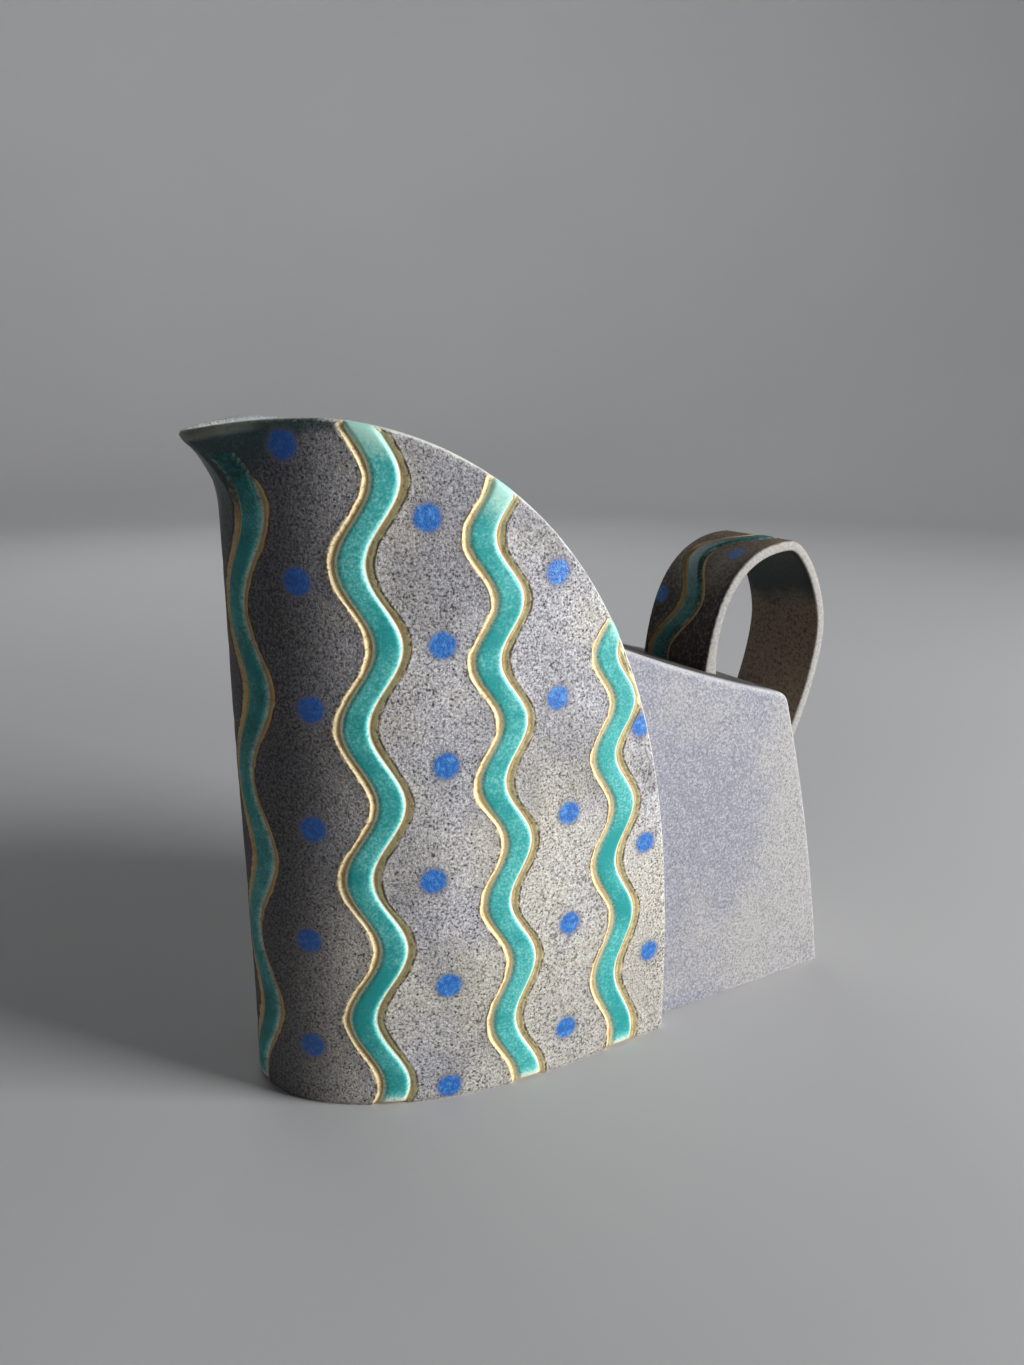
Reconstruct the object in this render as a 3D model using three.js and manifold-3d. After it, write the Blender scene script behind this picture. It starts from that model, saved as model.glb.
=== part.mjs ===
// A slab-built stoneware jug with inlaid wavy glaze stripes.
// Millimetres, +Z up. The spout points to -X and the handle to +X, and the left side is -Y.
// The pieces are laid out from the nose, and the finished jug is moved so that the origin
// lies on the ground in the middle of the foot.
import * as THREE from 'three';
import { mergeVertices } from 'three/addons/utils/BufferGeometryUtils.js';
import Module from 'manifold-3d';

const wasm = await Module();
wasm.setup();

// Clay slabs, the seams between them and the coils that seal them
const SLAB = 4.6;
const SEAM = 0.3;
const COIL = 4;
const COIL_BELLY = 0.6;

// Front wall: in plan, then the rim in side view
const FOOT_LENGTH = 167.5;
const WALL_WIDTH = 72.2;
const NOSE_LENGTH = 68.1;
const WING_LENGTH = 103.2;
const WING_TAPER = 0.9;
const WALL_HEIGHT = 166;
const RIM_CREST = 13.1;
const RIM_RISE_POWER = 2.84;
const RIM_FALL_POWER = 1.83;

// Pouring lip
const LIP_HEIGHT = 20;
const LIP_REACH = 11.4;
const LIP_SPREAD = 18;
const LIP_EDGE = 3.4;
const LIP_DROOP = 3.2;

// Rear box
const LAP = 26;
const SHOULDER_HEIGHT = 111.1;
const SHOULDER_SAG = 1.2;
const BACK_HEIGHT = 90;
const BACK_LEAN = 21;
const BACK_BOW = 2;
const CORNER_RADIUS = 3;

// Strap handle
const STRAP_WIDTH = 29;
const STRAP_THICKNESS = 3;
const STRAP_FLARE = 1.8;
const STRAP_FLARE_RUN = 20;
const STRAP_SETBACK = 14.5;
const STRAP_RISE = 34.5;
const STRAP_CROWN = 28;
const STRAP_OVERHANG = 28.2;
const STRAP_REAR_HEIGHT = 102.6;
const STRAP_FOOT_HEIGHT = 53;
const STRAP_FRONT_FULLNESS = 0.64;
const STRAP_REAR_FULLNESS = 0.41;
const STRAP_TAIL_DROP = 0.27;
const STRAP_TAIL_LIFT = 0.2;
const STRAP_TAIL_TUCK = 0.5;

// Glaze stripes, laid in channels that leave an open groove on each side
const STRIPE_WIDTH = 7;
const GROOVE_WIDTH = 1.5;
const CHANNEL_DEPTH = 0.9;
const GLAZE_RISE = 0.4;
const GLAZE_FOOT = 0.6;
const NOSE_STRIPE_STOP = 4;

// A stripe's wave: its place along the wall from the nose, lean per mm of run, sway to each side,
// wavelength and phase at the foot, and the extra turn that crowds the waves over CROWD_RUN
const CROWD_RUN = 100;
const NOSE_WAVE = { place: 2.2, lean: 0.041, sway: 3.5, length: 40.6, phase: 4.14, crowd: 0 };
const FRONT_WAVE = { place: 36.2, lean: 0.012, sway: 3.9, length: 37.3, phase: 0.6, crowd: 0.1 };
const MIDDLE_WAVE = { place: 71.7, lean: -0.04, sway: 3.1, length: 35, phase: 1.3, crowd: 1.7 };
const REAR_WAVE = { place: 101.5, lean: -0.023, sway: 2.9, length: 39, phase: 0.8, crowd: 4 };
const STRAP_WAVE = { place: -3.3, lean: 0.035, sway: 4.4, length: 31.2, phase: 3.68, crowd: 0 };
const SIDE_WAVES = [FRONT_WAVE, MIDDLE_WAVE, REAR_WAVE];

// How finely curves are cut into facets, and how far a cutter reaches past what it cuts
const WALL_STEPS = 64;
const RIM_STEPS = 28;
const STRAP_STEPS = 42;
const LIP_COLUMNS = 20;
const LIP_ROWS = 10;
const BOX_STEPS = 8;
const CORNER_STEPS = 4;
const STRIPE_STEP = 3.4;
const CUT_SPARE = 5;

// Worked out from the sizes above
const WALL_HALF = WALL_WIDTH / 2;
const REAR_HALF = wallHalfAt(WING_LENGTH) - SLAB - SEAM;
const REAR_INSIDE = REAR_HALF - SLAB;
const PANEL_HALF = REAR_INSIDE - SEAM;
const LAP_FRONT = WING_LENGTH - LAP;
const LIP_SEAM = WALL_HEIGHT - LIP_HEIGHT;
const BACK_TOP = FOOT_LENGTH - BACK_LEAN;
const SHOULDER_FRONT = rimAt(SHOULDER_HEIGHT);
const FLOOR = SLAB + SEAM;

// The wall's half width behind the nose, outside
function wallHalfAt(x) {
  if (x < NOSE_LENGTH) return WALL_HALF * Math.sqrt(1 - (1 - x / NOSE_LENGTH) ** 2);
  return WALL_HALF - WING_TAPER * ((x - NOSE_LENGTH) / (WING_LENGTH - NOSE_LENGTH)) ** 2;
}

// The rim seen from the side: a superellipse from the crest down to the wing's rear foot
function rimAt(z) {
  const fall = 1 - (z / WALL_HEIGHT) ** RIM_RISE_POWER;
  return RIM_CREST + (WING_LENGTH - RIM_CREST) * fall ** (1 / RIM_FALL_POWER);
}

// The shoulder's height, a sagging line from its front edge to the back corner
function shoulderAt(x) {
  const t = (x - SHOULDER_FRONT) / (BACK_TOP - SHOULDER_FRONT);
  return SHOULDER_HEIGHT + (BACK_HEIGHT - SHOULDER_HEIGHT) * t - 4 * SHOULDER_SAG * t * (1 - t);
}

function underShoulderAt(x) {
  const slope = (BACK_HEIGHT - SHOULDER_HEIGHT) / (BACK_TOP - SHOULDER_FRONT);
  return shoulderAt(x) - SLAB * Math.hypot(1, slope);
}

// The back's distance behind the nose, a bowed line that leans forward
function backAt(z) {
  const t = z / BACK_HEIGHT;
  return FOOT_LENGTH - BACK_LEAN * t + 4 * BACK_BOW * t * (1 - t);
}

function insideBackAt(z) {
  return backAt(z) - SLAB * Math.hypot(1, BACK_LEAN / BACK_HEIGHT);
}

// Evenly spaced numbers from first to last
function spread(first, last, steps) {
  return Array.from({ length: steps + 1 }, (_, i) => first + ((last - first) * i) / steps);
}

function flat(x, y) {
  return new THREE.Vector2(x, y);
}

// The wall's outer face in plan: left wing, round the nose, right wing
function wallPlan() {
  const end = WING_LENGTH + CUT_SPARE;
  const bend = (NOSE_LENGTH + end) / 2;
  const wing = (side) => [flat(NOSE_LENGTH, side * WALL_HALF), flat(bend, side * WALL_HALF),
    flat(end, side * wallHalfAt(end))];
  const path = new THREE.CurvePath();
  path.add(new THREE.QuadraticBezierCurve(...wing(-1).reverse()));
  const nose = [NOSE_LENGTH, 0, NOSE_LENGTH, WALL_HALF];
  path.add(new THREE.EllipseCurve(...nose, 1.5 * Math.PI, 0.5 * Math.PI, true));
  path.add(new THREE.QuadraticBezierCurve(...wing(1)));
  return path;
}

const PLAN = wallPlan();
const PLAN_LENGTH = PLAN.getLength();

// A point of the wall: along from the nose, positive to the left, at a depth below the outer face
function wallPoint(along, depth, z) {
  const u = THREE.MathUtils.clamp(0.5 - along / PLAN_LENGTH, 0, 1);
  const point = PLAN.getPoint(u);
  const tangent = PLAN.getTangent(u);
  return new THREE.Vector3(point.x + tangent.y * depth, point.y - tangent.x * depth, z);
}

// The wall's stations from left to right at one depth, in plan, as far back as a limit
function wallStations(depth, limit) {
  const alongs = spread(PLAN_LENGTH / 2, -PLAN_LENGTH / 2, WALL_STEPS);
  return alongs.filter((along) => wallPoint(along, depth, 0).x <= limit);
}

function wallLine(depth, limit) {
  return wallStations(depth, limit).map((along) => {
    const point = wallPoint(along, depth, 0);
    return flat(point.x, point.y);
  });
}

// Closed solids for cutting and joining
function toSolid(geometry) {
  const bare = geometry.clone();
  bare.deleteAttribute('normal');
  bare.deleteAttribute('uv');
  const merged = mergeVertices(bare);
  return new wasm.Manifold(new wasm.Mesh({
    numProp: 3,
    vertProperties: new Float32Array(merged.attributes.position.array),
    triVerts: new Uint32Array(merged.index.array),
  }));
}

function toGeometry(solid) {
  const mesh = solid.getMesh();
  const geometry = new THREE.BufferGeometry();
  geometry.setAttribute('position', new THREE.BufferAttribute(mesh.vertProperties, 3));
  geometry.setIndex(new THREE.BufferAttribute(mesh.triVerts, 1));
  geometry.computeVertexNormals();
  return geometry;
}

// An outline in plan, raised from one height to another
function planPrism(points, low, high) {
  const settings = { depth: high - low, bevelEnabled: false };
  return new THREE.ExtrudeGeometry(new THREE.Shape(points), settings).translate(0, 0, low);
}

// An outline in side view, drawn as (x, z), spread from one y to another
function sidePrism(points, low, high) {
  const settings = { depth: high - low, bevelEnabled: false };
  const geometry = new THREE.ExtrudeGeometry(new THREE.Shape(points), settings);
  return geometry.rotateX(Math.PI / 2).translate(0, high, 0);
}

// A closed body between two grids of points that have the same rows and columns
function between(outer, inner) {
  const rows = outer.length;
  const columns = outer[0].length;
  const top = (row, column) => row * columns + column;
  const under = (row, column) => rows * columns + top(row, column);
  const index = [];
  const quad = (a, b, c, d) => index.push(a, b, c, a, c, d);
  for (let row = 0; row < rows - 1; row += 1) {
    for (let column = 0; column < columns - 1; column += 1) {
      quad(top(row, column), top(row, column + 1), top(row + 1, column + 1), top(row + 1, column));
      quad(under(row, column), under(row + 1, column), under(row + 1, column + 1), under(row, column + 1));
    }
    const end = columns - 1;
    quad(top(row, 0), top(row + 1, 0), under(row + 1, 0), under(row, 0));
    quad(top(row, end), under(row, end), under(row + 1, end), top(row + 1, end));
  }
  for (let column = 0; column < columns - 1; column += 1) {
    const end = rows - 1;
    quad(top(0, column), under(0, column), under(0, column + 1), top(0, column + 1));
    quad(top(end, column), top(end, column + 1), under(end, column + 1), under(end, column));
  }
  const geometry = new THREE.BufferGeometry().setFromPoints([...outer.flat(), ...inner.flat()]);
  geometry.setIndex(index);
  geometry.computeVertexNormals();
  return geometry;
}

// Everything under the rim in side view, out past the tip of the lip
function underRim() {
  const tip = -LIP_REACH - CUT_SPARE;
  const falling = spread(0, Math.PI / 2, RIM_STEPS).map((angle) => flat(
    RIM_CREST + (WING_LENGTH - RIM_CREST) * Math.cos(angle) ** (2 / RIM_FALL_POWER),
    WALL_HEIGHT * Math.sin(angle) ** (2 / RIM_RISE_POWER),
  ));
  const drooping = spread(RIM_CREST, tip, BOX_STEPS).slice(1).map((x) => flat(
    x,
    WALL_HEIGHT - LIP_DROOP * ((RIM_CREST - x) / (RIM_CREST + LIP_REACH)) ** 2,
  ));
  const outline = [flat(tip, -CUT_SPARE), flat(WING_LENGTH, -CUT_SPARE), ...falling, ...drooping];
  return toSolid(sidePrism(outline, -WALL_WIDTH, WALL_WIDTH));
}

const UNDER_RIM = underRim();

// The notch at the top of the nose that the lip fills, smaller by inset
function lipNotch(inset) {
  const half = LIP_SPREAD - inset;
  const low = LIP_SEAM + inset;
  const high = WALL_HEIGHT + 2 * CUT_SPARE;
  const front = -LIP_REACH - 2 * CUT_SPARE;
  const rear = NOSE_LENGTH / 2;
  const outline = [flat(front, low), flat(rear, low), flat(rear, high), flat(front, high)];
  return toSolid(sidePrism(outline, -half, half));
}

// The top of the nose drawn forward to a rounded point, thinner towards its edge
function lipPoint(along, depth, z) {
  const rise = Math.max(0, (z - LIP_SEAM) / LIP_HEIGHT);
  const pinch = Math.abs(along) < LIP_SPREAD ? Math.cos((Math.PI * along) / (2 * LIP_SPREAD)) ** 2 : 0;
  const thinning = 1 - (1 - LIP_EDGE / SLAB) * Math.min(rise, 1) * pinch;
  const point = wallPoint(along, depth * thinning, z);
  point.x -= LIP_REACH * rise ** 2 * pinch;
  return point;
}

function pouringLip() {
  const reach = 2 * LIP_SPREAD;
  const heights = spread(LIP_SEAM - CUT_SPARE, WALL_HEIGHT + CUT_SPARE, LIP_ROWS);
  const columns = spread(-reach, reach, LIP_COLUMNS);
  const grid = (depth) => heights.map((z) => columns.map((along) => lipPoint(along, depth, z)));
  const drawn = toSolid(between(grid(0), grid(SLAB))).intersect(lipNotch(SEAM)).intersect(UNDER_RIM);
  return toGeometry(drawn.subtract(noseChannel()));
}

// How far a stripe lies to one side at a distance along its run
function swayAt(wave, run) {
  const turn = (2 * Math.PI * run) / wave.length + wave.crowd * (run / CROWD_RUN) ** 2;
  return wave.place + wave.lean * run + wave.sway * Math.sin(turn + wave.phase);
}

// A wavy ribbon on a surface, where place(across, depth, run) gives the surface's points
function ribbon(place, wave, side, width, depths, runs) {
  const steps = Math.ceil((runs[1] - runs[0]) / STRIPE_STEP);
  const edges = spread(-width / 2, width / 2, 2);
  const grid = (depth) => spread(...runs, steps).map((run) => (
    edges.map((edge) => place(side * swayAt(wave, run) + edge, depth, run))
  ));
  return toSolid(between(grid(depths[0]), grid(depths[1])));
}

const CHANNEL_WIDTH = STRIPE_WIDTH + 2 * GROOVE_WIDTH;
const CHANNEL_DEPTHS = [-CUT_SPARE, CHANNEL_DEPTH];
const GLAZE_DEPTHS = [-GLAZE_RISE, CHANNEL_DEPTH - SEAM];
const NOSE_STRIPE_TOP = WALL_HEIGHT - LIP_DROOP - NOSE_STRIPE_STOP;
const OVER_RIM = WALL_HEIGHT + CUT_SPARE;
const LEFT = 1;
const RIGHT = -1;

function sideChannel(wave, side) {
  return ribbon(wallPoint, wave, side, CHANNEL_WIDTH, CHANNEL_DEPTHS, [-CUT_SPARE, OVER_RIM]);
}

function sideStripe(wave, side) {
  const strip = ribbon(wallPoint, wave, side, STRIPE_WIDTH, GLAZE_DEPTHS, [GLAZE_FOOT, OVER_RIM]);
  return toGeometry(strip.intersect(UNDER_RIM));
}

// The nose stripe runs on over the seam and up the outside of the lip
function noseChannel() {
  const runs = [-CUT_SPARE, NOSE_STRIPE_TOP + GROOVE_WIDTH];
  return ribbon(lipPoint, NOSE_WAVE, LEFT, CHANNEL_WIDTH, CHANNEL_DEPTHS, runs);
}

function noseStripe() {
  const runs = [GLAZE_FOOT, NOSE_STRIPE_TOP];
  return toGeometry(ribbon(lipPoint, NOSE_WAVE, LEFT, STRIPE_WIDTH, GLAZE_DEPTHS, runs));
}

function frontWall() {
  const outline = [...wallLine(0, Infinity), ...wallLine(SLAB, Infinity).reverse()];
  let wall = toSolid(planPrism(outline, 0, OVER_RIM)).intersect(UNDER_RIM).subtract(lipNotch(0));
  wall = wall.subtract(noseChannel());
  for (const wave of SIDE_WAVES) {
    wall = wall.subtract(sideChannel(wave, LEFT)).subtract(sideChannel(wave, RIGHT));
  }
  return toGeometry(wall);
}

// The rear box in side view from a front edge, its back and shoulder moved out by grow
function rearOutline(front, grow) {
  const turnLow = BACK_HEIGHT - CORNER_RADIUS;
  const turnHigh = BACK_TOP - CORNER_RADIUS;
  const outline = new THREE.Shape();
  outline.moveTo(front, 0);
  spread(0, turnLow, BOX_STEPS).forEach((z) => outline.lineTo(backAt(z) + grow, z));
  outline.quadraticCurveTo(
    BACK_TOP + grow, BACK_HEIGHT + grow, turnHigh, shoulderAt(turnHigh) + grow,
  );
  spread(turnHigh, front, BOX_STEPS).slice(1).forEach((x) => outline.lineTo(x, shoulderAt(x) + grow));
  return outline.getPoints(CORNER_STEPS);
}

function rearSide(side) {
  const outline = rearOutline(LAP_FRONT, 0);
  if (side === LEFT) return sidePrism(outline, -REAR_HALF, -REAR_INSIDE);
  return sidePrism(outline, REAR_INSIDE, REAR_HALF);
}

// What the shoulder and the back are cut from, between the two sides
function rearPanel() {
  return toSolid(sidePrism(rearOutline(SHOULDER_FRONT, 0), -PANEL_HALF, PANEL_HALF));
}

// Everything below the shoulder's underside, lowered by drop
function belowShoulder(drop) {
  const rear = FOOT_LENGTH + CUT_SPARE;
  const front = SHOULDER_FRONT - CUT_SPARE;
  const line = spread(rear, front, 2 * BOX_STEPS).map((x) => flat(x, underShoulderAt(x) - drop));
  const outline = [flat(front, -CUT_SPARE), flat(rear, -CUT_SPARE), ...line];
  return toSolid(sidePrism(outline, -WALL_WIDTH, WALL_WIDTH));
}

// Everything in front of the back's inner face
function beforeBack() {
  const line = spread(-CUT_SPARE, SHOULDER_HEIGHT, BOX_STEPS).map((z) => flat(insideBackAt(z), z));
  const outline = [flat(0, -CUT_SPARE), ...line, flat(0, SHOULDER_HEIGHT)];
  return toSolid(sidePrism(outline, -WALL_WIDTH, WALL_WIDTH));
}

function shoulderSlab() {
  return toGeometry(rearPanel().subtract(belowShoulder(0)));
}

function rearBack() {
  return toGeometry(rearPanel().intersect(belowShoulder(SEAM)).subtract(beforeBack()));
}

// The floor fills the wall's inside as far as the lapped sides, and goes on between them to the back
function baseSlab() {
  const rear = insideBackAt(SLAB) - SEAM;
  const step = LAP_FRONT - SEAM;
  const round = wallLine(SLAB + SEAM, step);
  const shoulderHalf = round[round.length - 1].y;
  const outline = [
    flat(rear, -PANEL_HALF),
    flat(step, -PANEL_HALF),
    flat(step, -shoulderHalf),
    ...round,
    flat(step, shoulderHalf),
    flat(step, PANEL_HALF),
    flat(rear, PANEL_HALF),
  ];
  return planPrism(outline, 0, SLAB);
}

// A coil pressed into a corner: two legs along the faces and a rounded front
function pressedCoil(corners) {
  const sections = corners.map(({ corner, first, second }) => ({
    corner,
    first: corner.clone().add(first),
    second: corner.clone().add(second),
    front: corner.clone().addScaledVector(first, COIL_BELLY).addScaledVector(second, COIL_BELLY),
  }));
  return between(
    sections.map((section) => [section.first, section.front]),
    sections.map((section) => [section.corner, section.second]),
  );
}

// Round the floor of the nose
function noseBaseCoil() {
  const limit = LAP_FRONT - COIL - 2 * SEAM;
  return pressedCoil(wallStations(SLAB + SEAM, limit).map((along) => {
    const corner = wallPoint(along, SLAB + SEAM, FLOOR);
    const inward = wallPoint(along, SLAB + SEAM + COIL, FLOOR).sub(corner);
    return { corner, first: new THREE.Vector3(0, 0, COIL), second: inward };
  }));
}

// Up a rear corner of the inside, where cornerAt(z) gives the corner's distance behind the nose
function uprightCoil(cornerAt, half, side, top) {
  const forward = new THREE.Vector3(-COIL, 0, 0);
  const inward = new THREE.Vector3(0, side * COIL, 0);
  const legs = side === LEFT ? [inward, forward] : [forward, inward];
  return pressedCoil(spread(FLOOR, top, BOX_STEPS).map((z) => ({
    corner: new THREE.Vector3(cornerAt(z), -side * half, z),
    first: legs[0],
    second: legs[1],
  })));
}

function backCoil(side) {
  const top = underShoulderAt(BACK_TOP) - SEAM;
  return uprightCoil((z) => insideBackAt(z) - SEAM, PANEL_HALF, side, top);
}

function lapCoil(side) {
  const rear = LAP_FRONT - SEAM;
  const half = Math.min(wallHalfAt(rear), wallHalfAt(rear - COIL)) - SLAB - SEAM;
  return uprightCoil(() => rear, half, side, SHOULDER_HEIGHT);
}

// The strap's middle line in side view, from inside the shoulder over the crown and into the back
function strapPath() {
  const footX = BACK_TOP - STRAP_SETBACK;
  const foot = flat(footX, shoulderAt(footX) - SLAB / 2);
  const crown = flat(footX + STRAP_CROWN, shoulderAt(footX) + STRAP_RISE);
  const rear = flat(BACK_TOP + STRAP_OVERHANG, STRAP_REAR_HEIGHT);
  const end = flat(backAt(STRAP_FOOT_HEIGHT) - SLAB / 2, STRAP_FOOT_HEIGHT);
  const path = new THREE.CurvePath();
  path.add(new THREE.CubicBezierCurve(
    foot,
    flat(foot.x, foot.y + STRAP_FRONT_FULLNESS * (crown.y - foot.y)),
    flat(crown.x - STRAP_FRONT_FULLNESS * (crown.x - foot.x), crown.y),
    crown,
  ));
  path.add(new THREE.CubicBezierCurve(
    crown,
    flat(crown.x + STRAP_REAR_FULLNESS * (rear.x - crown.x), crown.y),
    flat(rear.x, rear.y + STRAP_REAR_FULLNESS * (crown.y - rear.y)),
    rear,
  ));
  path.add(new THREE.CubicBezierCurve(
    rear,
    flat(rear.x, rear.y - STRAP_TAIL_DROP * (rear.y - end.y)),
    flat(end.x + STRAP_TAIL_TUCK * (rear.x - end.x), end.y + STRAP_TAIL_LIFT * (rear.y - end.y)),
    end,
  ));
  return path;
}

const STRAP = strapPath();
const STRAP_LENGTH = STRAP.getLength();

// A point of the strap: across to the left, at a depth below the outer face, at a run from the front foot
function strapPoint(across, depth, run) {
  const u = THREE.MathUtils.clamp(run / STRAP_LENGTH, 0, 1);
  const point = STRAP.getPoint(u);
  const tangent = STRAP.getTangent(u);
  const out = strapThickness(run) / 2 - depth;
  return new THREE.Vector3(point.x - tangent.y * out, -across, point.y + tangent.x * out);
}

// The strap thickens towards both feet
function strapThickness(run) {
  const nearest = Math.min(run, STRAP_LENGTH - run);
  return STRAP_THICKNESS + STRAP_FLARE * Math.max(0, 1 - nearest / STRAP_FLARE_RUN) ** 2;
}

// The rear box with the seam that the strap's feet keep from it
function rearKeepOut() {
  return toSolid(sidePrism(rearOutline(LAP_FRONT, SEAM), -WALL_WIDTH, WALL_WIDTH));
}

function handleStrap() {
  const runs = spread(0, STRAP_LENGTH, STRAP_STEPS);
  const line = (depthAt) => runs.map((run) => {
    const point = strapPoint(0, depthAt(run), run);
    return flat(point.x, point.z);
  });
  const outline = [...line(() => 0), ...line(strapThickness).reverse()];
  const band = toSolid(sidePrism(outline, -STRAP_WIDTH / 2, STRAP_WIDTH / 2));
  const channel = ribbon(strapPoint, STRAP_WAVE, LEFT, CHANNEL_WIDTH, CHANNEL_DEPTHS, [0, STRAP_LENGTH]);
  return toGeometry(band.subtract(channel).subtract(rearKeepOut()));
}

function handleStripe() {
  const strip = ribbon(strapPoint, STRAP_WAVE, LEFT, STRIPE_WIDTH, GLAZE_DEPTHS, [0, STRAP_LENGTH]);
  return toGeometry(strip.subtract(rearKeepOut()));
}

// Finishes
const SPECKLED = { color: 0x8d8796, roughness: 0.6, metalness: 0 };
const LAVENDER = { color: 0xa7a1b3, roughness: 0.55, metalness: 0 };
const DARK_CLAY = { color: 0x6f6762, roughness: 0.65, metalness: 0 };
const TEAL = { color: 0x1f6f78, roughness: 0.3, metalness: 0 };

const jug = new THREE.Group();
const pieces = new THREE.Group();
pieces.position.x = -FOOT_LENGTH / 2;
jug.add(pieces);

function addPiece(name, geometry, finish) {
  const piece = new THREE.Mesh(geometry, new THREE.MeshStandardMaterial(finish));
  piece.name = name;
  pieces.add(piece);
}

addPiece('front_wall', frontWall(), SPECKLED);
addPiece('pouring_lip', pouringLip(), SPECKLED);
addPiece('base_slab', baseSlab(), DARK_CLAY);
addPiece('rear_side_left', rearSide(LEFT), LAVENDER);
addPiece('rear_side_right', rearSide(RIGHT), LAVENDER);
addPiece('rear_back', rearBack(), LAVENDER);
addPiece('shoulder_slab', shoulderSlab(), LAVENDER);
addPiece('handle_strap', handleStrap(), DARK_CLAY);
addPiece('nose_base_coil', noseBaseCoil(), DARK_CLAY);
addPiece('left_back_coil', backCoil(LEFT), DARK_CLAY);
addPiece('right_back_coil', backCoil(RIGHT), DARK_CLAY);
addPiece('left_lap_coil', lapCoil(LEFT), DARK_CLAY);
addPiece('right_lap_coil', lapCoil(RIGHT), DARK_CLAY);
addPiece('nose_stripe', noseStripe(), TEAL);
SIDE_WAVES.forEach((wave, i) => {
  addPiece(`left_stripe_${i + 1}`, sideStripe(wave, LEFT), TEAL);
  addPiece(`right_stripe_${i + 1}`, sideStripe(wave, RIGHT), TEAL);
});
addPiece('handle_stripe', handleStripe(), TEAL);

export default jug;
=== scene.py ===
"""Looks of the slab-built stoneware jug: speckled clay, cut grooves, thick glaze stripes, brushed dots."""
import math

import bmesh
import bpy
import numpy as np
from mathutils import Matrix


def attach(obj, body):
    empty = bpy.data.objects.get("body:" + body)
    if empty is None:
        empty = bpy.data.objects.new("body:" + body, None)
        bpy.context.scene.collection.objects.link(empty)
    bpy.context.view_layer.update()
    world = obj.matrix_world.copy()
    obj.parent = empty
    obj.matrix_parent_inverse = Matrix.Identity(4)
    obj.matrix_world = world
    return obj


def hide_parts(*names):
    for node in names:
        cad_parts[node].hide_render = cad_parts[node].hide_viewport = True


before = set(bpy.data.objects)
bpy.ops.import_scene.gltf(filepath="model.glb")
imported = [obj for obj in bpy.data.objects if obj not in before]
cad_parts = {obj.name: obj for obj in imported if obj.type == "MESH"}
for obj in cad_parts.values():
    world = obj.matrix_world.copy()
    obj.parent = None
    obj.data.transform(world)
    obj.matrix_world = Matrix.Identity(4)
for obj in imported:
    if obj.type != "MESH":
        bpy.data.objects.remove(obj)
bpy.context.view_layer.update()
MM = 0.001

# Sizes of the jug in millimetres, laid out from the nose, as in the part's source
SLAB = 4.6
FOOT_LENGTH = 167.5
WALL_HALF = 36.1
NOSE_LENGTH = 68.1
WING_LENGTH = 103.2
WING_TAPER = 0.9
WALL_HEIGHT = 166
RIM_CREST = 13.1
RIM_RISE_POWER = 2.84
RIM_FALL_POWER = 1.83
LIP_HEIGHT = 20
LIP_REACH = 11.4
LIP_SPREAD = 18
LIP_EDGE = 3.4
LIP_DROOP = 3.2
LAP = 26
SHOULDER_HEIGHT = 111.1
SHOULDER_SAG = 1.2
BACK_HEIGHT = 90
BACK_LEAN = 21
BACK_BOW = 2
CORNER_RADIUS = 3
STRAP_HALF = 14.5
STRAP_THICKNESS = 3
STRAP_FLARE = 1.8
STRAP_FLARE_RUN = 20
STRAP_SETBACK = 14.5
STRAP_RISE = 34.5
STRAP_CROWN = 28
STRAP_OVERHANG = 28.2
STRAP_REAR_HEIGHT = 102.6
STRAP_FOOT_HEIGHT = 53
STRAP_FRONT_FULLNESS = 0.64
STRAP_REAR_FULLNESS = 0.41
STRAP_TAIL_DROP = 0.27
STRAP_TAIL_LIFT = 0.2
STRAP_TAIL_TUCK = 0.5
STRIPE_HALF = 3.5
GROOVE_WIDTH = 1.5
CHANNEL_DEPTH = 0.9
GLAZE_FOOT = 0.6
NOSE_STRIPE_TOP = 158.8
CROWD_RUN = 100

# A stripe's wave: place, lean, sway, wavelength, phase and crowding, as in the part's source
NOSE_WAVE = (2.2, 0.041, 3.5, 40.6, 4.14, 0)
FRONT_WAVE = (36.2, 0.012, 3.9, 37.3, 0.6, 0.1)
MIDDLE_WAVE = (71.7, -0.04, 3.1, 35, 1.3, 1.7)
REAR_WAVE = (101.5, -0.023, 2.9, 39, 0.8, 4)
STRAP_WAVE = (-3.3, 0.035, 4.4, 31.2, 3.68, 0)

# Small forms that only the looks have, in millimetres or as shares
GLAZE_RISE = 0.25
GLAZE_CROWN = 0.15
GLAZE_SINK = 0.2
GLAZE_SKIN = 0.05
GLAZE_END = 1.6
FLANK_START = 0.62
GROOVE_DEPTH = 0.6
GROOVE_FLOOR = 4
CUT_WOBBLE = 0.09
BURR = 0.1
BURR_WIDTH = 1
RIM_ROUND = 1.3
RIM_GIRTH = 9
LIP_ROLL = 1.25
LIP_BEAD = 0.85
LIP_BEAD_SPREAD = 9
LIP_BEAD_DROP = 2.2
FOOT_ROUND = 0.5
FOOT_RISE = 1.1
SLAB_ROUND = 1.2
SEAM_ROUND = 0.45
SEAM = 0.05
FACE_MARGIN = 0.6
STRAP_ROUND = 0.65
STRAP_ENDS = (0.8, 1.2)
STRAP_STRIPE_ENDS = (2, 3)
HAND_WAVER = 0.12
NOSE_STRIPE_FADE = 9
RIM_TURN = 136

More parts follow.
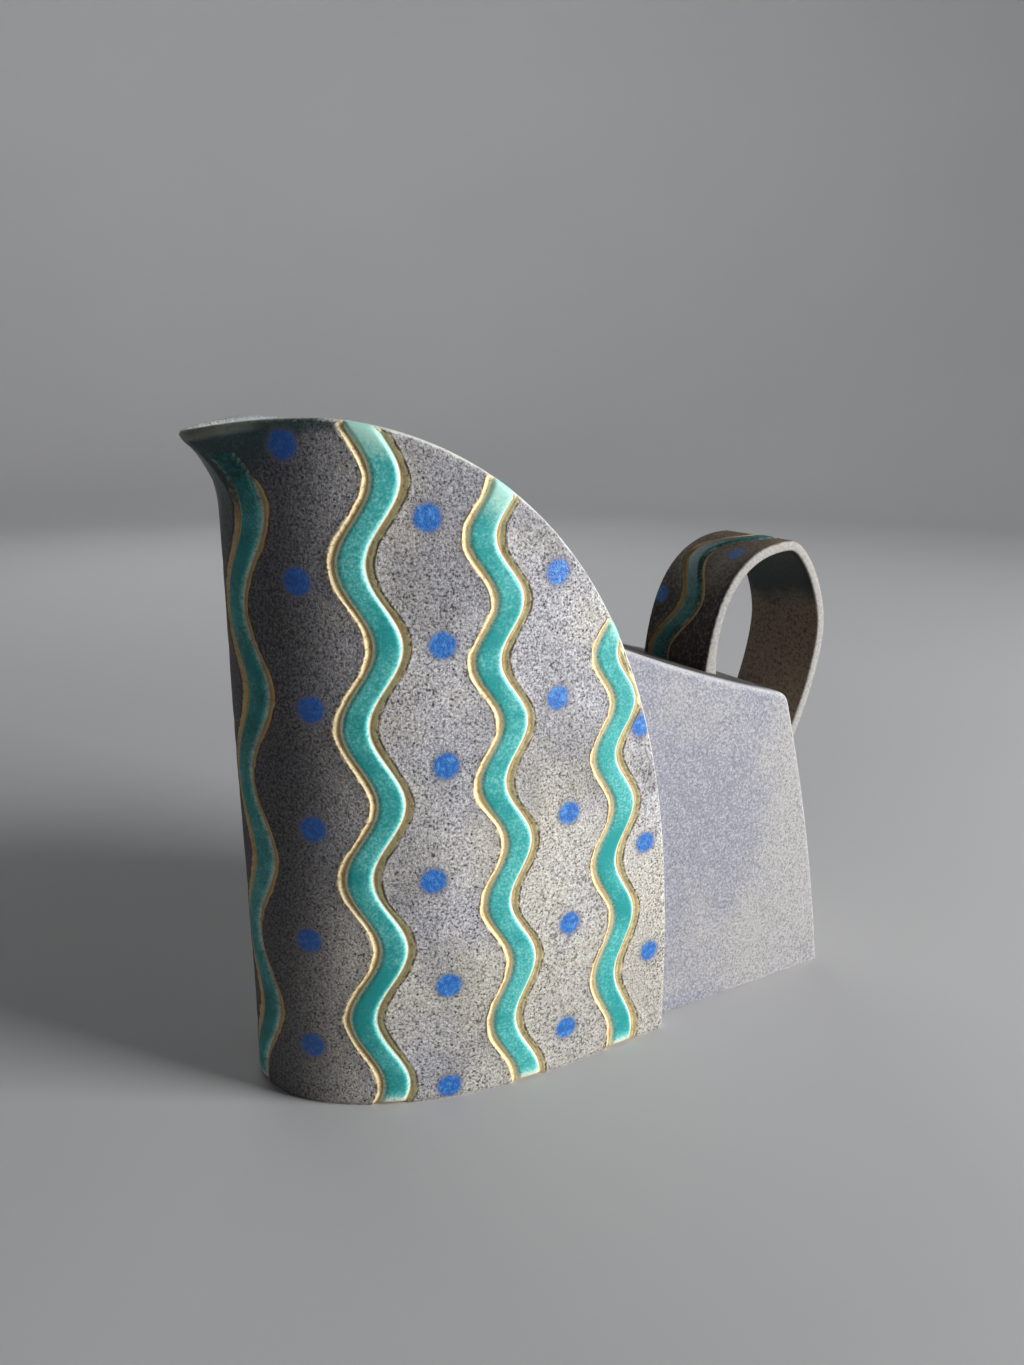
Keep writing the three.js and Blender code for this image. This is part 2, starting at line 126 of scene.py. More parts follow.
# How finely the meshes are divided and their edges searched for
PLAN_STEPS = 400
WING_STEPS = 100
WALL_ROWS = 132
RIM_ROWS = 34
FOOT_ROWS = [0, 0.2, 0.5, 0.9, 1.4]
STRIPE_FOOT_ROWS = [0, 0.15, 0.4, 0.8, 1.3]
EDGE_STEPS = 3
SLOPE_COLUMNS = 13
BETWEEN_STEPS = 8
STRIPE_ROWS = 150
STRIPE_COLUMNS = 21
OUTLINE_STEPS = 24
CORNER_STEPS = 8
UPRIGHT_STEPS = 12
UNDER_STEPS = 20
CURVE_STEPS = 160
STRAP_ROWS = 190
STRAP_STRIPE_ROWS = 170
STRAP_INSIDE_COLUMNS = 12
STRAP_SIDE_STEPS = 4
FLOOR_STEPS = 96
SWEEP_STEPS = 16
SEARCH_STEPS = 3000
HALVINGS = 32

# Worked out from the sizes above
NOSE_X = -FOOT_LENGTH / 2
LAP_FRONT = WING_LENGTH - LAP
BACK_TOP = FOOT_LENGTH - BACK_LEAN
LIP_SEAM = WALL_HEIGHT - LIP_HEIGHT
GROOVE_EDGE = STRIPE_HALF + GROOVE_WIDTH
BURR_EDGE = GROOVE_EDGE + BURR_WIDTH
GLAZE_BED = CHANNEL_DEPTH + GLAZE_SINK
WALL_HEIGHTS = np.concatenate([FOOT_ROWS[:-1], np.linspace(FOOT_ROWS[-1], RIM_TURN, WALL_ROWS)])
PILLOW = STRIPE_HALF * np.sin(np.linspace(-1, 1, STRIPE_COLUMNS) * math.pi / 2)


def smooth(value):
    value = np.clip(value, 0, 1)
    return value * value * (3 - 2 * value)


def ramp(value, start, end):
    return smooth((value - start) / (end - start))


def bell(value, spread):
    return np.exp(-(value / spread) ** 2)


def wall_half_at(x):
    return WALL_HALF - WING_TAPER * ((x - NOSE_LENGTH) / (WING_LENGTH - NOSE_LENGTH)) ** 2


def rim_at(z, inset=0.0):
    """How far behind the nose the rim is at a height, moved in from the true edge by inset."""
    fall = np.clip(1 - (z / (WALL_HEIGHT - inset)) ** RIM_RISE_POWER, 0, 1)
    return RIM_CREST + (WING_LENGTH - inset - RIM_CREST) * fall ** (1 / RIM_FALL_POWER)


def rim_height_at(x, inset):
    back = np.clip((x - RIM_CREST) / (WING_LENGTH - inset - RIM_CREST), 0, 1)
    front = np.clip((RIM_CREST - x) / (RIM_CREST + LIP_REACH), 0, None)
    crown = (1 - back ** RIM_FALL_POWER) ** (1 / RIM_RISE_POWER)
    return (WALL_HEIGHT - inset) * crown - LIP_DROOP * front ** 2


SHOULDER_FRONT = float(rim_at(SHOULDER_HEIGHT))
REAR_HALF = wall_half_at(WING_LENGTH) - SLAB
REAR_INSIDE = REAR_HALF - SLAB


def shoulder_at(x):
    t = (x - SHOULDER_FRONT) / (BACK_TOP - SHOULDER_FRONT)
    return SHOULDER_HEIGHT + (BACK_HEIGHT - SHOULDER_HEIGHT) * t - 4 * SHOULDER_SAG * t * (1 - t)


def under_shoulder_at(x):
    slope = (BACK_HEIGHT - SHOULDER_HEIGHT) / (BACK_TOP - SHOULDER_FRONT)
    return shoulder_at(x) - SLAB * math.hypot(1, slope)


def back_at(z):
    t = z / BACK_HEIGHT
    return FOOT_LENGTH - BACK_LEAN * t + 4 * BACK_BOW * t * (1 - t)


def inside_back_at(z):
    return back_at(z) - SLAB * math.hypot(1, BACK_LEAN / BACK_HEIGHT)


def measured(x, y):
    """Run along a line of points, the points, and the direction at each."""
    run = np.concatenate([[0], np.cumsum(np.hypot(np.diff(x), np.diff(y)))])
    ahead = np.gradient(np.stack([x, y]), run, axis=1)
    ahead /= np.hypot(*ahead)
    return run, x, y, ahead[0], ahead[1]


def wall_plan():
    """Half of the wall's outer face in plan, from the nose round to the end of a wing."""
    turn = np.linspace(0, math.pi / 2, PLAN_STEPS)
    wing = np.linspace(NOSE_LENGTH, WING_LENGTH + SLAB, WING_STEPS)[1:]
    x = np.concatenate([NOSE_LENGTH * (1 - np.cos(turn)), wing])
    y = np.concatenate([WALL_HALF * np.sin(turn), wall_half_at(wing)])
    run, x, y, ahead_x, ahead_y = measured(x, y)
    ahead_x[0], ahead_y[0] = 0, 1
    return run, x, y, ahead_x, ahead_y


PLAN = wall_plan()


def wall_point(along, depth, z):
    """A point of the wall: along from the nose, positive to the left, at a depth below the outer face."""
    along, depth, z = np.broadcast_arrays(along, depth, z)
    x, y, ahead_x, ahead_y = (np.interp(np.abs(along), PLAN[0], row) for row in PLAN[1:])
    rise = np.clip((z - LIP_SEAM) / LIP_HEIGHT, 0, None)
    pinch = np.cos(np.clip(np.abs(along) / LIP_SPREAD, 0, 1) * math.pi / 2) ** 2
    thin = depth * (1 - (1 - LIP_EDGE / SLAB) * np.clip(rise, 0, 1) * pinch)
    side = np.where(along < 0, 1, -1)
    drawn = x + thin * ahead_y - LIP_REACH * rise ** 2 * pinch
    return np.stack([drawn, side * (y - thin * ahead_x), z], axis=-1)


def sway_at(wave, run):
    place, lean, sway, length, phase, crowd = wave
    turn = 2 * math.pi * run / length + crowd * (run / CROWD_RUN) ** 2
    return place + lean * run + sway * np.sin(turn + phase)


# The stripes' middle lines, from the right wing round the nose to the left wing
LEFT, RIGHT = 1, -1
WALL_LINES = [
    (RIGHT, REAR_WAVE),
    (RIGHT, MIDDLE_WAVE),
    (RIGHT, FRONT_WAVE),
    (LEFT, NOSE_WAVE),
    (LEFT, FRONT_WAVE),
    (LEFT, MIDDLE_WAVE),
    (LEFT, REAR_WAVE),
]
NOSE_LINE = 3
LAST_LINE = len(WALL_LINES) - 1

# Marks on clay that has no groove near it and no dots
PLAIN_MARK = 3.0
AWAY = 500.0


def groove_offsets():
    """Columns across one stripe's channel, close together on the groove's outer slope."""
    beside = STRIPE_HALF + np.array([-0.2, 0.1])
    slope = np.linspace(GROOVE_FLOOR - 0.1, GROOVE_EDGE + 0.2, SLOPE_COLUMNS)
    burr = GROOVE_EDGE + BURR_WIDTH * np.array([0.45, 0.7, 1])
    half = np.concatenate([beside, slope, burr])
    return np.concatenate([-half[::-1], [0], half])


def groove_depth(offset):
    away = np.abs(offset)
    floor = GROOVE_DEPTH * (1 - smooth((away - GROOVE_FLOOR) / (GROOVE_EDGE - GROOVE_FLOOR)))
    burr = BURR * np.sin(np.clip((away - GROOVE_EDGE) / BURR_WIDTH, 0, 1) * math.pi) ** 2
    return floor - burr


def groove_mark(offset):
    """0 at the glaze, 1 at the groove's outer edge, more on plain clay."""
    return (np.abs(offset) - STRIPE_HALF) / GROOVE_WIDTH


def waver(along, z):
    """The hand-rolled slab's slow unevenness."""
    return HAND_WAVER * (np.sin(along / 13 + 1.7 * np.sin(z / 29)) + np.sin(z / 17 + along / 31))


def foot_relief(along, z):
    return waver(along, z) + FOOT_ROUND * (1 - smooth(z / FOOT_RISE))


def edge_at(z, inset):
    """How far along the wall from the nose the rim is at a height."""
    return np.interp(rim_at(z, inset), PLAN[1], PLAN[0])


def rim_drop(along, z):
    """How deep the rim's rounding has gone at a place near the wing's edge."""
    start = edge_at(z, RIM_ROUND)
    t = np.clip((np.abs(along) - start) / (edge_at(z, 0.0) - start), 0, 1)
    return RIM_ROUND * (1 - np.sqrt(1 - t * t))


def column_tops(along_at, inset, count):
    """The height at which each column meets the flat part of the rim, where along_at(z) gives the columns."""
    low = np.full(count, float(RIM_TURN))
    high = np.full(count, float(WALL_HEIGHT))
    for _ in range(HALVINGS):
        middle = (low + high) / 2
        x = wall_point(along_at(middle), 0, middle)[..., 0]
        under = rim_height_at(x, inset) > middle
        low = np.where(under, middle, low)
        high = np.where(under, high, middle)
    return low


def nose_fade(z):
    """1 where the nose stripe is whole, falling to 0 where it dies out on the lip."""
    start = NOSE_STRIPE_TOP - NOSE_STRIPE_FADE
    return 1 - smooth((z - start) / (NOSE_STRIPE_FADE + GROOVE_WIDTH))


def cut_at(along, z):
    """Depth of the cut channels at places on the wall, and the groove mark there."""
    apart = np.stack([np.abs(along - side * sway_at(wave, z)) for side, wave in WALL_LINES])
    wobble = np.sin(z / 1.7 + along / 3) + np.sin(z / 4.1 - along / 7) + np.sin(z / 0.9 + along)
    nearest = apart.min(axis=0) + CUT_WOBBLE * wobble
    whole = np.where(apart.argmin(axis=0) == NOSE_LINE, nose_fade(z), 1.0)
    return groove_depth(nearest) * whole, PLAIN_MARK + (groove_mark(nearest) - PLAIN_MARK) * whole


def edge_round(radius):
    """(inset, depth) pairs round one edge of a slab, from its face to its cut edge."""
    turns = np.linspace(0, math.pi / 2, EDGE_STEPS + 1)
    return [(radius * (1 - math.sin(turn)), radius * (1 - math.cos(turn))) for turn in turns]


def edge_rings(near_radius, far_radius, thickness):
    """(inset, depth) pairs over a slab's whole edge, from one face to the other."""
    far = reversed(edge_round(far_radius))
    return edge_round(near_radius) + [(inset, thickness - depth) for inset, depth in far]


def grid_faces(rows, columns, start=0):
    index = start + np.arange(rows * columns).reshape(rows, columns)
    corners = [index[:-1, :-1], index[:-1, 1:], index[1:, 1:], index[1:, :-1]]
    return np.stack(corners, axis=-1).reshape(-1, 4).tolist()


class Body:
    """Points, faces and marks of one piece, gathered sheet by sheet."""

    def __init__(self):
        self.points = []
        self.faces = []
        self.marks = {}
        self.count = 0

    def add_points(self, points, marks):
        flat = points.reshape(-1, 3)
        for mark in set(self.marks) | set(marks):
            held = self.marks.setdefault(mark, [np.zeros(self.count)] if self.count else [])
            held.append(np.broadcast_to(marks.get(mark, 0.0), points.shape[:-1]).reshape(-1))
        self.points.append(flat)
        first = self.count
        self.count += len(flat)
        return first

    def add_sheet(self, points, **marks):
        first = self.add_points(points, marks)
        self.faces += grid_faces(*points.shape[:2], first)

    def add_cap(self, points, **marks):
        first = self.add_points(points, marks)
        self.faces.append(list(range(first, first + len(points))))

    def add_between(self, top, under, **marks):
        """A closed body between two sheets with the same rows and columns."""
        self.add_sheet(top, **marks)
        self.add_sheet(under, **marks)
        for edge in (np.s_[0], np.s_[-1], np.s_[:, 0], np.s_[:, -1]):
            rim_marks = {mark: np.broadcast_to(value, top.shape[:2])[edge] for mark, value in marks.items()}
            self.add_sheet(np.stack([top[edge], under[edge]]), **rim_marks)


WELD_REACH = 0.002
SLIVER = 0.0005
SHARP_ANGLE = 55


def weld(mesh):
    work = bmesh.new()
    work.from_mesh(mesh)
    bmesh.ops.remove_doubles(work, verts=work.verts, dist=WELD_REACH * MM)
    bmesh.ops.dissolve_degenerate(work, edges=work.edges, dist=SLIVER * MM)
    bmesh.ops.recalc_face_normals(work, faces=work.faces)
    work.to_mesh(mesh)
    work.free()


def add_object(name, data):
    made = bpy.data.objects.new(name, data)
    bpy.context.scene.collection.objects.link(made)
    return made


def add_piece(name, body, finish, nodes):
    """Makes the piece, welds its sheets and sets it on the frame in place of its nodes."""
    mesh = bpy.data.meshes.new(name)
    points = (np.concatenate(body.points) + (NOSE_X, 0, 0)) * MM
    mesh.from_pydata(points.tolist(), [], body.faces)
    for mark, values in body.marks.items():
        layer = mesh.attributes.new(mark, "FLOAT", "POINT")
        layer.data.foreach_set("value", np.concatenate(values).astype(np.float32))
    weld(mesh)
    mesh.shade_smooth()
    mesh.set_sharp_from_angle(angle=math.radians(SHARP_ANGLE))
    mesh.materials.append(finish)
    piece = add_object(name, mesh)
    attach(piece, "root")
    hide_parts(*nodes)


# Node helpers
def arithmetic(work):
    return lambda first, second: first.tree.maths(work, first, second)


class Value:
    """A value or colour in a node tree, which takes plain arithmetic."""

    __add__ = arithmetic("ADD")
    __sub__ = arithmetic("SUBTRACT")
    __mul__ = arithmetic("MULTIPLY")
    __truediv__ = arithmetic("DIVIDE")

    def __init__(self, tree, socket):
        self.tree = tree
        self.socket = socket


class Tree:
    """A node tree, with short ways to add the nodes that the finishes are made of."""

    def __init__(self, source):
        self.source = source
        self.place = self.values(self.put("ShaderNodeTexCoord"))["Object"]

    def put(self, kind, feeds=None, **settings):
        """A node with its settings, its inputs fed by values of the tree or by plain ones."""
        node = self.source.nodes.new(kind)
        for setting, value in settings.items():
            setattr(node, setting, value)
        for name, value in (feeds or {}).items():
            self.feed(node.inputs[name], value)
        return node

    def feed(self, socket, value):
        if isinstance(value, Value):
            self.source.links.new(value.socket, socket)
        else:
            socket.default_value = value

    def values(self, node):
        return {socket.name: Value(self, socket) for socket in node.outputs}

    def first(self, kind, feeds, **settings):
        return Value(self, self.put(kind, feeds, **settings).outputs[0])

    def group(self, group, feeds):
        return self.values(self.put("ShaderNodeGroup", feeds, node_tree=group))

    def maths(self, work, first, second=0.0):
        return self.first("ShaderNodeMath", {0: first, 1: second}, operation=work)

    def most(self, first, second):
        return self.maths("MAXIMUM", first, second)

    def mix(self, amount, first, second):
        """A colour between two others."""
        node = self.put("ShaderNodeMix", {0: amount, 6: first, 7: second}, data_type="RGBA")
        return Value(self, node.outputs[2])

    def blend(self, amount, first, second):
        """A number between two others."""
        return self.first("ShaderNodeMix", {0: amount, 2: first, 3: second}, data_type="FLOAT")

    def ease(self, value, start, end):
        """0 at the start and 1 at the end, with a soft rise between; the end may be the lower one."""
        feeds = {"Value": value, "From Min": start, "From Max": end}
        return self.first("ShaderNodeMapRange", feeds, interpolation_type="SMOOTHSTEP")

    def noise(self, scale, detail=2.0, rough=0.5, **mapping):
        """Noise over the object's own place, moved by a Location or stretched by a Scale."""
        where = self.place
        if mapping:
            where = self.first("ShaderNodeMapping", {"Vector": where, **mapping})
        feeds = {"Vector": where, "Scale": scale, "Detail": detail, "Roughness": rough}
        return self.first("ShaderNodeTexNoise", feeds)

    def drift(self, scale, detail=2.0, rough=0.5):
        """Noise that swings to both sides of nothing."""
        return self.noise(scale, detail, rough) - 0.5

    def mark(self, name):
        return self.values(self.put("ShaderNodeAttribute", attribute_name=name))["Fac"]

    def bands(self, value, stops):
        """A colour that runs through the stops, given as (place, colour)."""
        node = self.put("ShaderNodeValToRGB", {0: value})
        elements = node.color_ramp.elements
        elements[0].position, elements[0].color = stops[0]
        elements[1].position, elements[1].color = stops[-1]
        for place, shade in stops[1:-1]:
            elements.new(place).color = shade
        return Value(self, node.outputs[0])


def colour(red, green, blue):
    return (red, green, blue, 1.0)


def new_group(name, inputs, outputs):
    """A node group, the values that it is given, and the sockets of its result."""
    source = bpy.data.node_groups.new(name, "ShaderNodeTree")
    for label, value in inputs.items():
        kind = "NodeSocketColor" if isinstance(value, tuple) else "NodeSocketFloat"
        source.interface.new_socket(label, in_out="INPUT", socket_type=kind).default_value = value
    for label in outputs:
        kind = "NodeSocketColor" if label == "Color" else "NodeSocketFloat"
        source.interface.new_socket(label, in_out="OUTPUT", socket_type=kind)
    tree = Tree(source)
    return tree, tree.values(tree.put("NodeGroupInput")), tree.put("NodeGroupOutput").inputs


# Effects that several finishes share
def clay_grain_group():
    """Salt and pepper grain over slow warm and cool patches, with a few iron specks."""
    inputs = dict.fromkeys(["Cool", "Warm", "Dark grain", "Pale grain"], colour(0, 0, 0))
    inputs |= dict.fromkeys(["Warmth", "Grains per metre", "Dark share", "Pale share", "Specks"], 0.0)
    tree, given, result = new_group("clay grain", inputs, ["Color", "Height"])
    patches = tree.ease(tree.noise(26, 3, 0.6) + given["Warmth"], 0.36, 0.64)
    ground = tree.mix(patches, given["Cool"], given["Warm"])
    grain = tree.noise(given["Grains per metre"], 2, 0.75)
    crowded = tree.noise(75, 4, 0.65, Location=(0.4, 0.1, 0.2)) + 0.45
    pale = tree.ease(grain, 0.5, 0.66) * given["Pale share"]
    dark = tree.ease(grain, 0.49, 0.33) * given["Dark share"] * crowded
    cells = tree.values(tree.put("ShaderNodeTexVoronoi", {"Vector": tree.place, "Scale": 820}))
    chosen = tree.maths("LESS_THAN", cells["Color"], given["Specks"])
    specks = tree.ease(cells["Distance"], 0.34, 0.16) * chosen
    grained = tree.mix(pale, ground, given["Pale grain"])
    tree.feed(result["Color"], tree.mix(tree.most(dark, specks), grained, given["Dark grain"]))
    tree.feed(result["Height"], pale - dark)
    return tree.source


def pale_edge_group():
    """Where glaze draws back from an edge and the pale clay shows, in a thin broken line."""
    inputs = {"Color": colour(0.4, 0.4, 0.4), "Bare": colour(0.8, 0.76, 0.66), "Strength": 1.0}
    tree, given, result = new_group("pale edge", inputs, ["Color"])
    edge = tree.mark("edge") + (tree.drift(900, 3, 0.7) * 0.8 + tree.drift(90) * 0.7)
    bare = tree.ease(edge, 0.5, 0.95) * given["Strength"]
    tree.feed(result["Color"], tree.mix(bare, given["Color"], given["Bare"]))
    return tree.source


def groove_group():
    """The cut groove beside a stripe: khaki floor, cream outer wall and dark crumbs along its edge, the floor
    and its brown line at the glaze darkened partly as painted shade.
    """
    inputs = {"Color": colour(0.4, 0.4, 0.4), "Paleness": 1.0}
    tree, given, result = new_group("groove", inputs, ["Color"])
    place = (tree.mark("groove") + tree.drift(1100, 3, 0.65) * 0.45) / 2
    # The brown line at the glaze and the khaki floor are ochre, darkened partly as painted shade in the
    # recess
    shades = tree.bands(place, [
        (0.0, colour(0.46, 0.28, 0.1)),
        (0.1, colour(0.63, 0.43, 0.18)),
        (0.22, colour(0.85, 0.68, 0.37)),
        (0.4, colour(0.92, 0.79, 0.5)),
        (0.5, colour(0.74, 0.54, 0.25)),
    ])
    worn = tree.ease(tree.noise(330, 4, 0.7), 0.5, 0.72)
    shades = tree.mix(worn * 0.5, shades, colour(0.44, 0.28, 0.11))
    grit = tree.ease(tree.noise(900, 3, 0.75), 0.52, 0.63)
    shades = tree.mix(grit * 0.6, shades, colour(0.3, 0.17, 0.055))
    tanned = tree.mix(0.75, shades, colour(0.36, 0.2, 0.055))
    shades = tree.mix(given["Paleness"], tanned, shades)
    shade = tree.mix(tree.ease(place, 0.58, 0.51), given["Color"], shades)
    crumbs = tree.ease(place, 0.43, 0.52) * tree.ease(place, 0.72, 0.57)
    broken = tree.ease(tree.noise(420, 3, 0.75), 0.4, 0.56)
    tree.feed(result["Color"], tree.mix(crumbs * broken, shade, colour(0.07, 0.045, 0.025)))
    return tree.source


def dot_row_group():
    """A row of brushed dots up the wall or along the strap, as a soft mask and a wider halo."""
    across = ["Along", "Place", "Lean", "Wander", "Turn", "Start"]
    inputs = dict.fromkeys(across + ["Up", "First", "Spacing", "Last", "Radius"], 0.0)
    tree, given, result = new_group("dot row", inputs, ["Dot", "Halo"])
    step = tree.maths("ROUND", (given["Up"] - given["First"]) / given["Spacing"])
    nearest = tree.maths("MINIMUM", tree.most(step, 0.0), given["Last"])
    centre = given["First"] + nearest * given["Spacing"]
    wander = tree.maths("SINE", nearest * given["Turn"] + given["Start"]) * given["Wander"]
    high = given["Up"] - centre
    wide = given["Along"] - (given["Place"] + given["Lean"] * centre + wander)
    away = tree.maths("SQRT", high * high + wide * wide) - given["Radius"] + tree.drift(500) * 0.9
    tree.feed(result["Dot"], tree.ease(away, 0.35, -0.55))
    tree.feed(result["Halo"], tree.ease(away, 1.7, -0.4))
    return tree.source


CLAY_GRAIN = clay_grain_group()
PALE_EDGE = pale_edge_group()
GROOVE = groove_group()
DOT_ROW = dot_row_group()

COBALT = colour(0.015, 0.125, 0.45)
COBALT_PALE = colour(0.09, 0.3, 0.66)
# Cobalt darkened as painted shade
COBALT_SHADED = colour(0.004, 0.05, 0.25)
DOT_HALO = colour(0.11, 0.115, 0.19)
WASH_GREEN = colour(0.004, 0.034, 0.035)
LIP_OLIVE = colour(0.2, 0.215, 0.165)
INSIDE_PALE = colour(0.45, 0.48, 0.455)
INSIDE_DEEP = colour(0.19, 0.25, 0.24)
CREAM = colour(0.76, 0.79, 0.73)
MINT = colour(0.46, 0.76, 0.64)

# Rows of dots, brushed by hand so that they wander: along and up the wall, or across and along the strap
WALL_DOTS = [
    {"Place": 20.9, "Lean": 0.01, "First": 16.5, "Spacing": 28.8, "Last": 5.0,
     "Radius": 3.1, "Wander": 1.9, "Turn": 1.3, "Start": -2.0},
    {"Place": 52.3, "Lean": 0.004, "First": 3.8, "Spacing": 28.3, "Last": 5.0,
     "Radius": 3.1, "Wander": 2.2, "Turn": 2.15, "Start": 0.45},
    {"Place": 87.7, "Lean": -0.044, "First": 11.8, "Spacing": 30.0, "Last": 4.0,
     "Radius": 2.95, "Wander": 1.5, "Turn": 1.9, "Start": -1.6},
    {"Place": 114.4, "Lean": -0.078, "First": 26.3, "Spacing": 32.2, "Last": 2.0, "Radius": 2.8},
]
STRAP_DOTS = [
    {"Place": 7.4, "First": 37.9, "Spacing": 31.2, "Last": 2.0, "Radius": 2.4},
    {"Place": -12.4, "Lean": 0.035, "First": 20.8, "Spacing": 62.4, "Last": 1.0, "Radius": 2.4},
]

# Where the clay changes, from none to all, in millimetres up the wall, along it or along the strap
WARM_UP = (105, 25)
WARM_ALONG = (40, 110)
SMOKY_UP = (80, 160)
# Painted shade: the clay darkens towards the nose, further along in the upper part
NOSE_SHADE_ALONG = (42, 8)
NOSE_SHADE_WIDER_UP = (25, 90)
NOSE_SHADE_WIDER = 9
# Painted shade: darker towards the foot at the rear
LOWER_REAR_SHADE_UP = (62, 5)
LOWER_REAR_SHADE_ALONG = (48, 85)
PALE_GROOVE_ALONG = (12, 34)
# Painted shade: the strap is near black at its front foot and browner higher up
STRAP_FOOT_SHADE_RUN = (8, 44)
# Painted shade on the strap's inner face towards its rear
STRAP_INSIDE_SHADE_RUN = (86, 66)
BOX_WARM_X = (10 * MM, 100 * MM)


def new_finish(name):
    finish = bpy.data.materials.new(name)
    finish.use_nodes = True
    return finish, Tree(finish.node_tree), finish.node_tree.nodes["Principled BSDF"].inputs


def set_surface(tree, shader, shade, roughness, height, strength, reach):
    """The finish's colour and roughness, and its bumps up to a reach in millimetres."""
    tree.feed(shader["Base Color"], shade)
    tree.feed(shader["Roughness"], roughness)
    feeds = {"Height": height, "Strength": strength, "Distance": reach * MM}
    tree.feed(shader["Normal"], tree.first("ShaderNodeBump", feeds))


def brush_dots(tree, shade, along, up, rows, deep=0.0):
    """Cobalt dots over a shade, each with a darker halo, and darker themselves where deep is high, which is
    painted shade.
    """
    dots, halos = 0.0, 0.0
    for row in rows:
        brushed = tree.group(DOT_ROW, {"Along": along, "Up": up, **row})
        dots = tree.most(brushed["Dot"], dots)
        halos = tree.most(brushed["Halo"], halos)
    cobalt = tree.mix(tree.ease(tree.noise(900, 3, 0.7), 0.42, 0.72), COBALT, COBALT_PALE)
    # Painted shade: the dots darken where deep is high
    cobalt = tree.mix(deep * 0.7, cobalt, COBALT_SHADED)
    shade = tree.mix(halos * 0.6, shade, DOT_HALO)
    return tree.mix(dots, shade, cobalt), dots


def streaked_inside(tree):
    """The thin glaze inside, brushed down in pale streaks."""
    streaks = tree.noise(620, 4, 0.65, Scale=(1, 1, 0.1))
    amount = tree.ease(streaks, 0.36, 0.68) * tree.ease(tree.noise(35, 3), 0.1, 0.6)
    return tree.mix(amount, INSIDE_DEEP, INSIDE_PALE), streaks


def washed(tree, shade):
    """The dark green wash that runs down from the lip, thinner in cloudy patches; on the nose and strap
    stripes its mark also carries painted shade.
    """
    wash = tree.ease(tree.mark("wash") + tree.drift(150, 5, 0.7) * 0.8, 0.08, 0.75)
    cover = tree.blend(tree.ease(tree.noise(1100, 3, 0.75), 0.42, 0.62), 0.96, 0.66)
    return tree.mix(wash * cover, shade, WASH_GREEN), wash


def speckled_clay():
    finish, tree, shader = new_finish("speckled clay")
    up = tree.mark("up")
    along = tree.maths("ABSOLUTE", tree.mark("along"))
    grain = tree.group(CLAY_GRAIN, {
        "Cool": colour(0.39, 0.382, 0.42),
        "Warm": colour(0.5, 0.465, 0.395),
        "Dark grain": colour(0.03, 0.027, 0.03),
        "Pale grain": colour(0.8, 0.79, 0.78),
        "Warmth": tree.ease(up, *WARM_UP) * 0.2 + tree.ease(along, *WARM_ALONG) * 0.1 - 0.12,
        "Grains per metre": 1650.0,
        "Dark share": 0.95,
        "Pale share": 0.75,
        "Specks": 0.3,
    })
    clouds = tree.noise(30, 4, 0.6, Location=(0.3, 0.2, 0.7))
    smoky = tree.ease(clouds + tree.ease(up, *SMOKY_UP) * 0.12, 0.46, 0.68)
    # Painted shade on the nose, reaching further along higher up
    nose = tree.ease(along - tree.ease(up, *NOSE_SHADE_WIDER_UP) * NOSE_SHADE_WIDER, *NOSE_SHADE_ALONG)
    # Painted shade, darker towards the foot at the rear
    foot = tree.ease(up, *LOWER_REAR_SHADE_UP) * tree.ease(along, *LOWER_REAR_SHADE_ALONG)
    # Smoky clouds and painted shade darken the clay towards one smoky colour
    smoke_and_shade = tree.most(tree.most(smoky * 0.42, foot * 0.24), nose)
    speckle = tree.ease(grain["Height"], -0.5, 0.6)
    smoke_and_shade_colour = tree.mix(speckle, colour(0.012, 0.011, 0.014), colour(0.08, 0.074, 0.084))
    shade = tree.mix(smoke_and_shade * 0.92, grain["Color"], smoke_and_shade_colour)
    paleness = tree.blend(tree.ease(along, *PALE_GROOVE_ALONG), 0.2, 1.0)
    shade = tree.group(GROOVE, {"Color": shade, "Paleness": paleness})["Color"]
    shade, wash = washed(tree, shade)
    # The dots take the nose's painted shade too
    shade, dots = brush_dots(tree, shade, along, up, WALL_DOTS, nose)
    rolled = tree.mark("lip") * tree.ease(tree.noise(240, 3), 0.2, 0.55)
    shade = tree.mix(rolled, shade, LIP_OLIVE)
    shade = tree.group(PALE_EDGE, {"Color": shade, "Bare": CREAM, "Strength": 0.8})["Color"]
    inside, streaks = streaked_inside(tree)
    within = tree.mark("within")
    shade = tree.mix(within, shade, inside)
    roughness = tree.blend(within, tree.blend(tree.most(dots, wash), 0.62, 0.36), 0.34)
    set_surface(tree, shader, shade, roughness, grain["Height"] + streaks * 0.6, 0.4, 0.12)
    return finish


def box_clay():
    finish, tree, shader = new_finish("lavender clay")
    backward = tree.values(tree.put("ShaderNodeSeparateXYZ", {"Vector": tree.place}))["X"]
    grain = tree.group(CLAY_GRAIN, {
        "Cool": colour(0.25, 0.25, 0.295),
        "Warm": colour(0.35, 0.338, 0.325),
        "Dark grain": colour(0.1, 0.098, 0.135),
        "Pale grain": colour(0.5, 0.498, 0.545),
        "Warmth": tree.ease(backward, *BOX_WARM_X) * 0.24 - 0.12,
        "Grains per metre": 1450.0,
        "Dark share": 0.62,
        "Pale share": 0.6,
        "Specks": 0.03,
    })
    strokes = tree.ease(tree.noise(420, 4, 0.65, Scale=(0.12, 1, 1)), 0.35, 0.65)
    # On the shoulder slab the dark brushed glaze is painted shade under the handle
    brushed = tree.mark("brushed") * tree.blend(strokes, 0.94, 0.76)
    shade = tree.mix(brushed, grain["Color"], colour(0.04, 0.036, 0.03))
    bare = {"Bare": colour(0.6, 0.59, 0.57), "Strength": 0.6}
    shade = tree.group(PALE_EDGE, {"Color": shade, **bare})["Color"]
    clouds = tree.noise(60, 3)
    roughness = tree.blend(clouds, 0.42, 0.64)
    set_surface(tree, shader, shade, roughness, grain["Height"] + clouds * 4, 0.3, 0.15)
    return finish


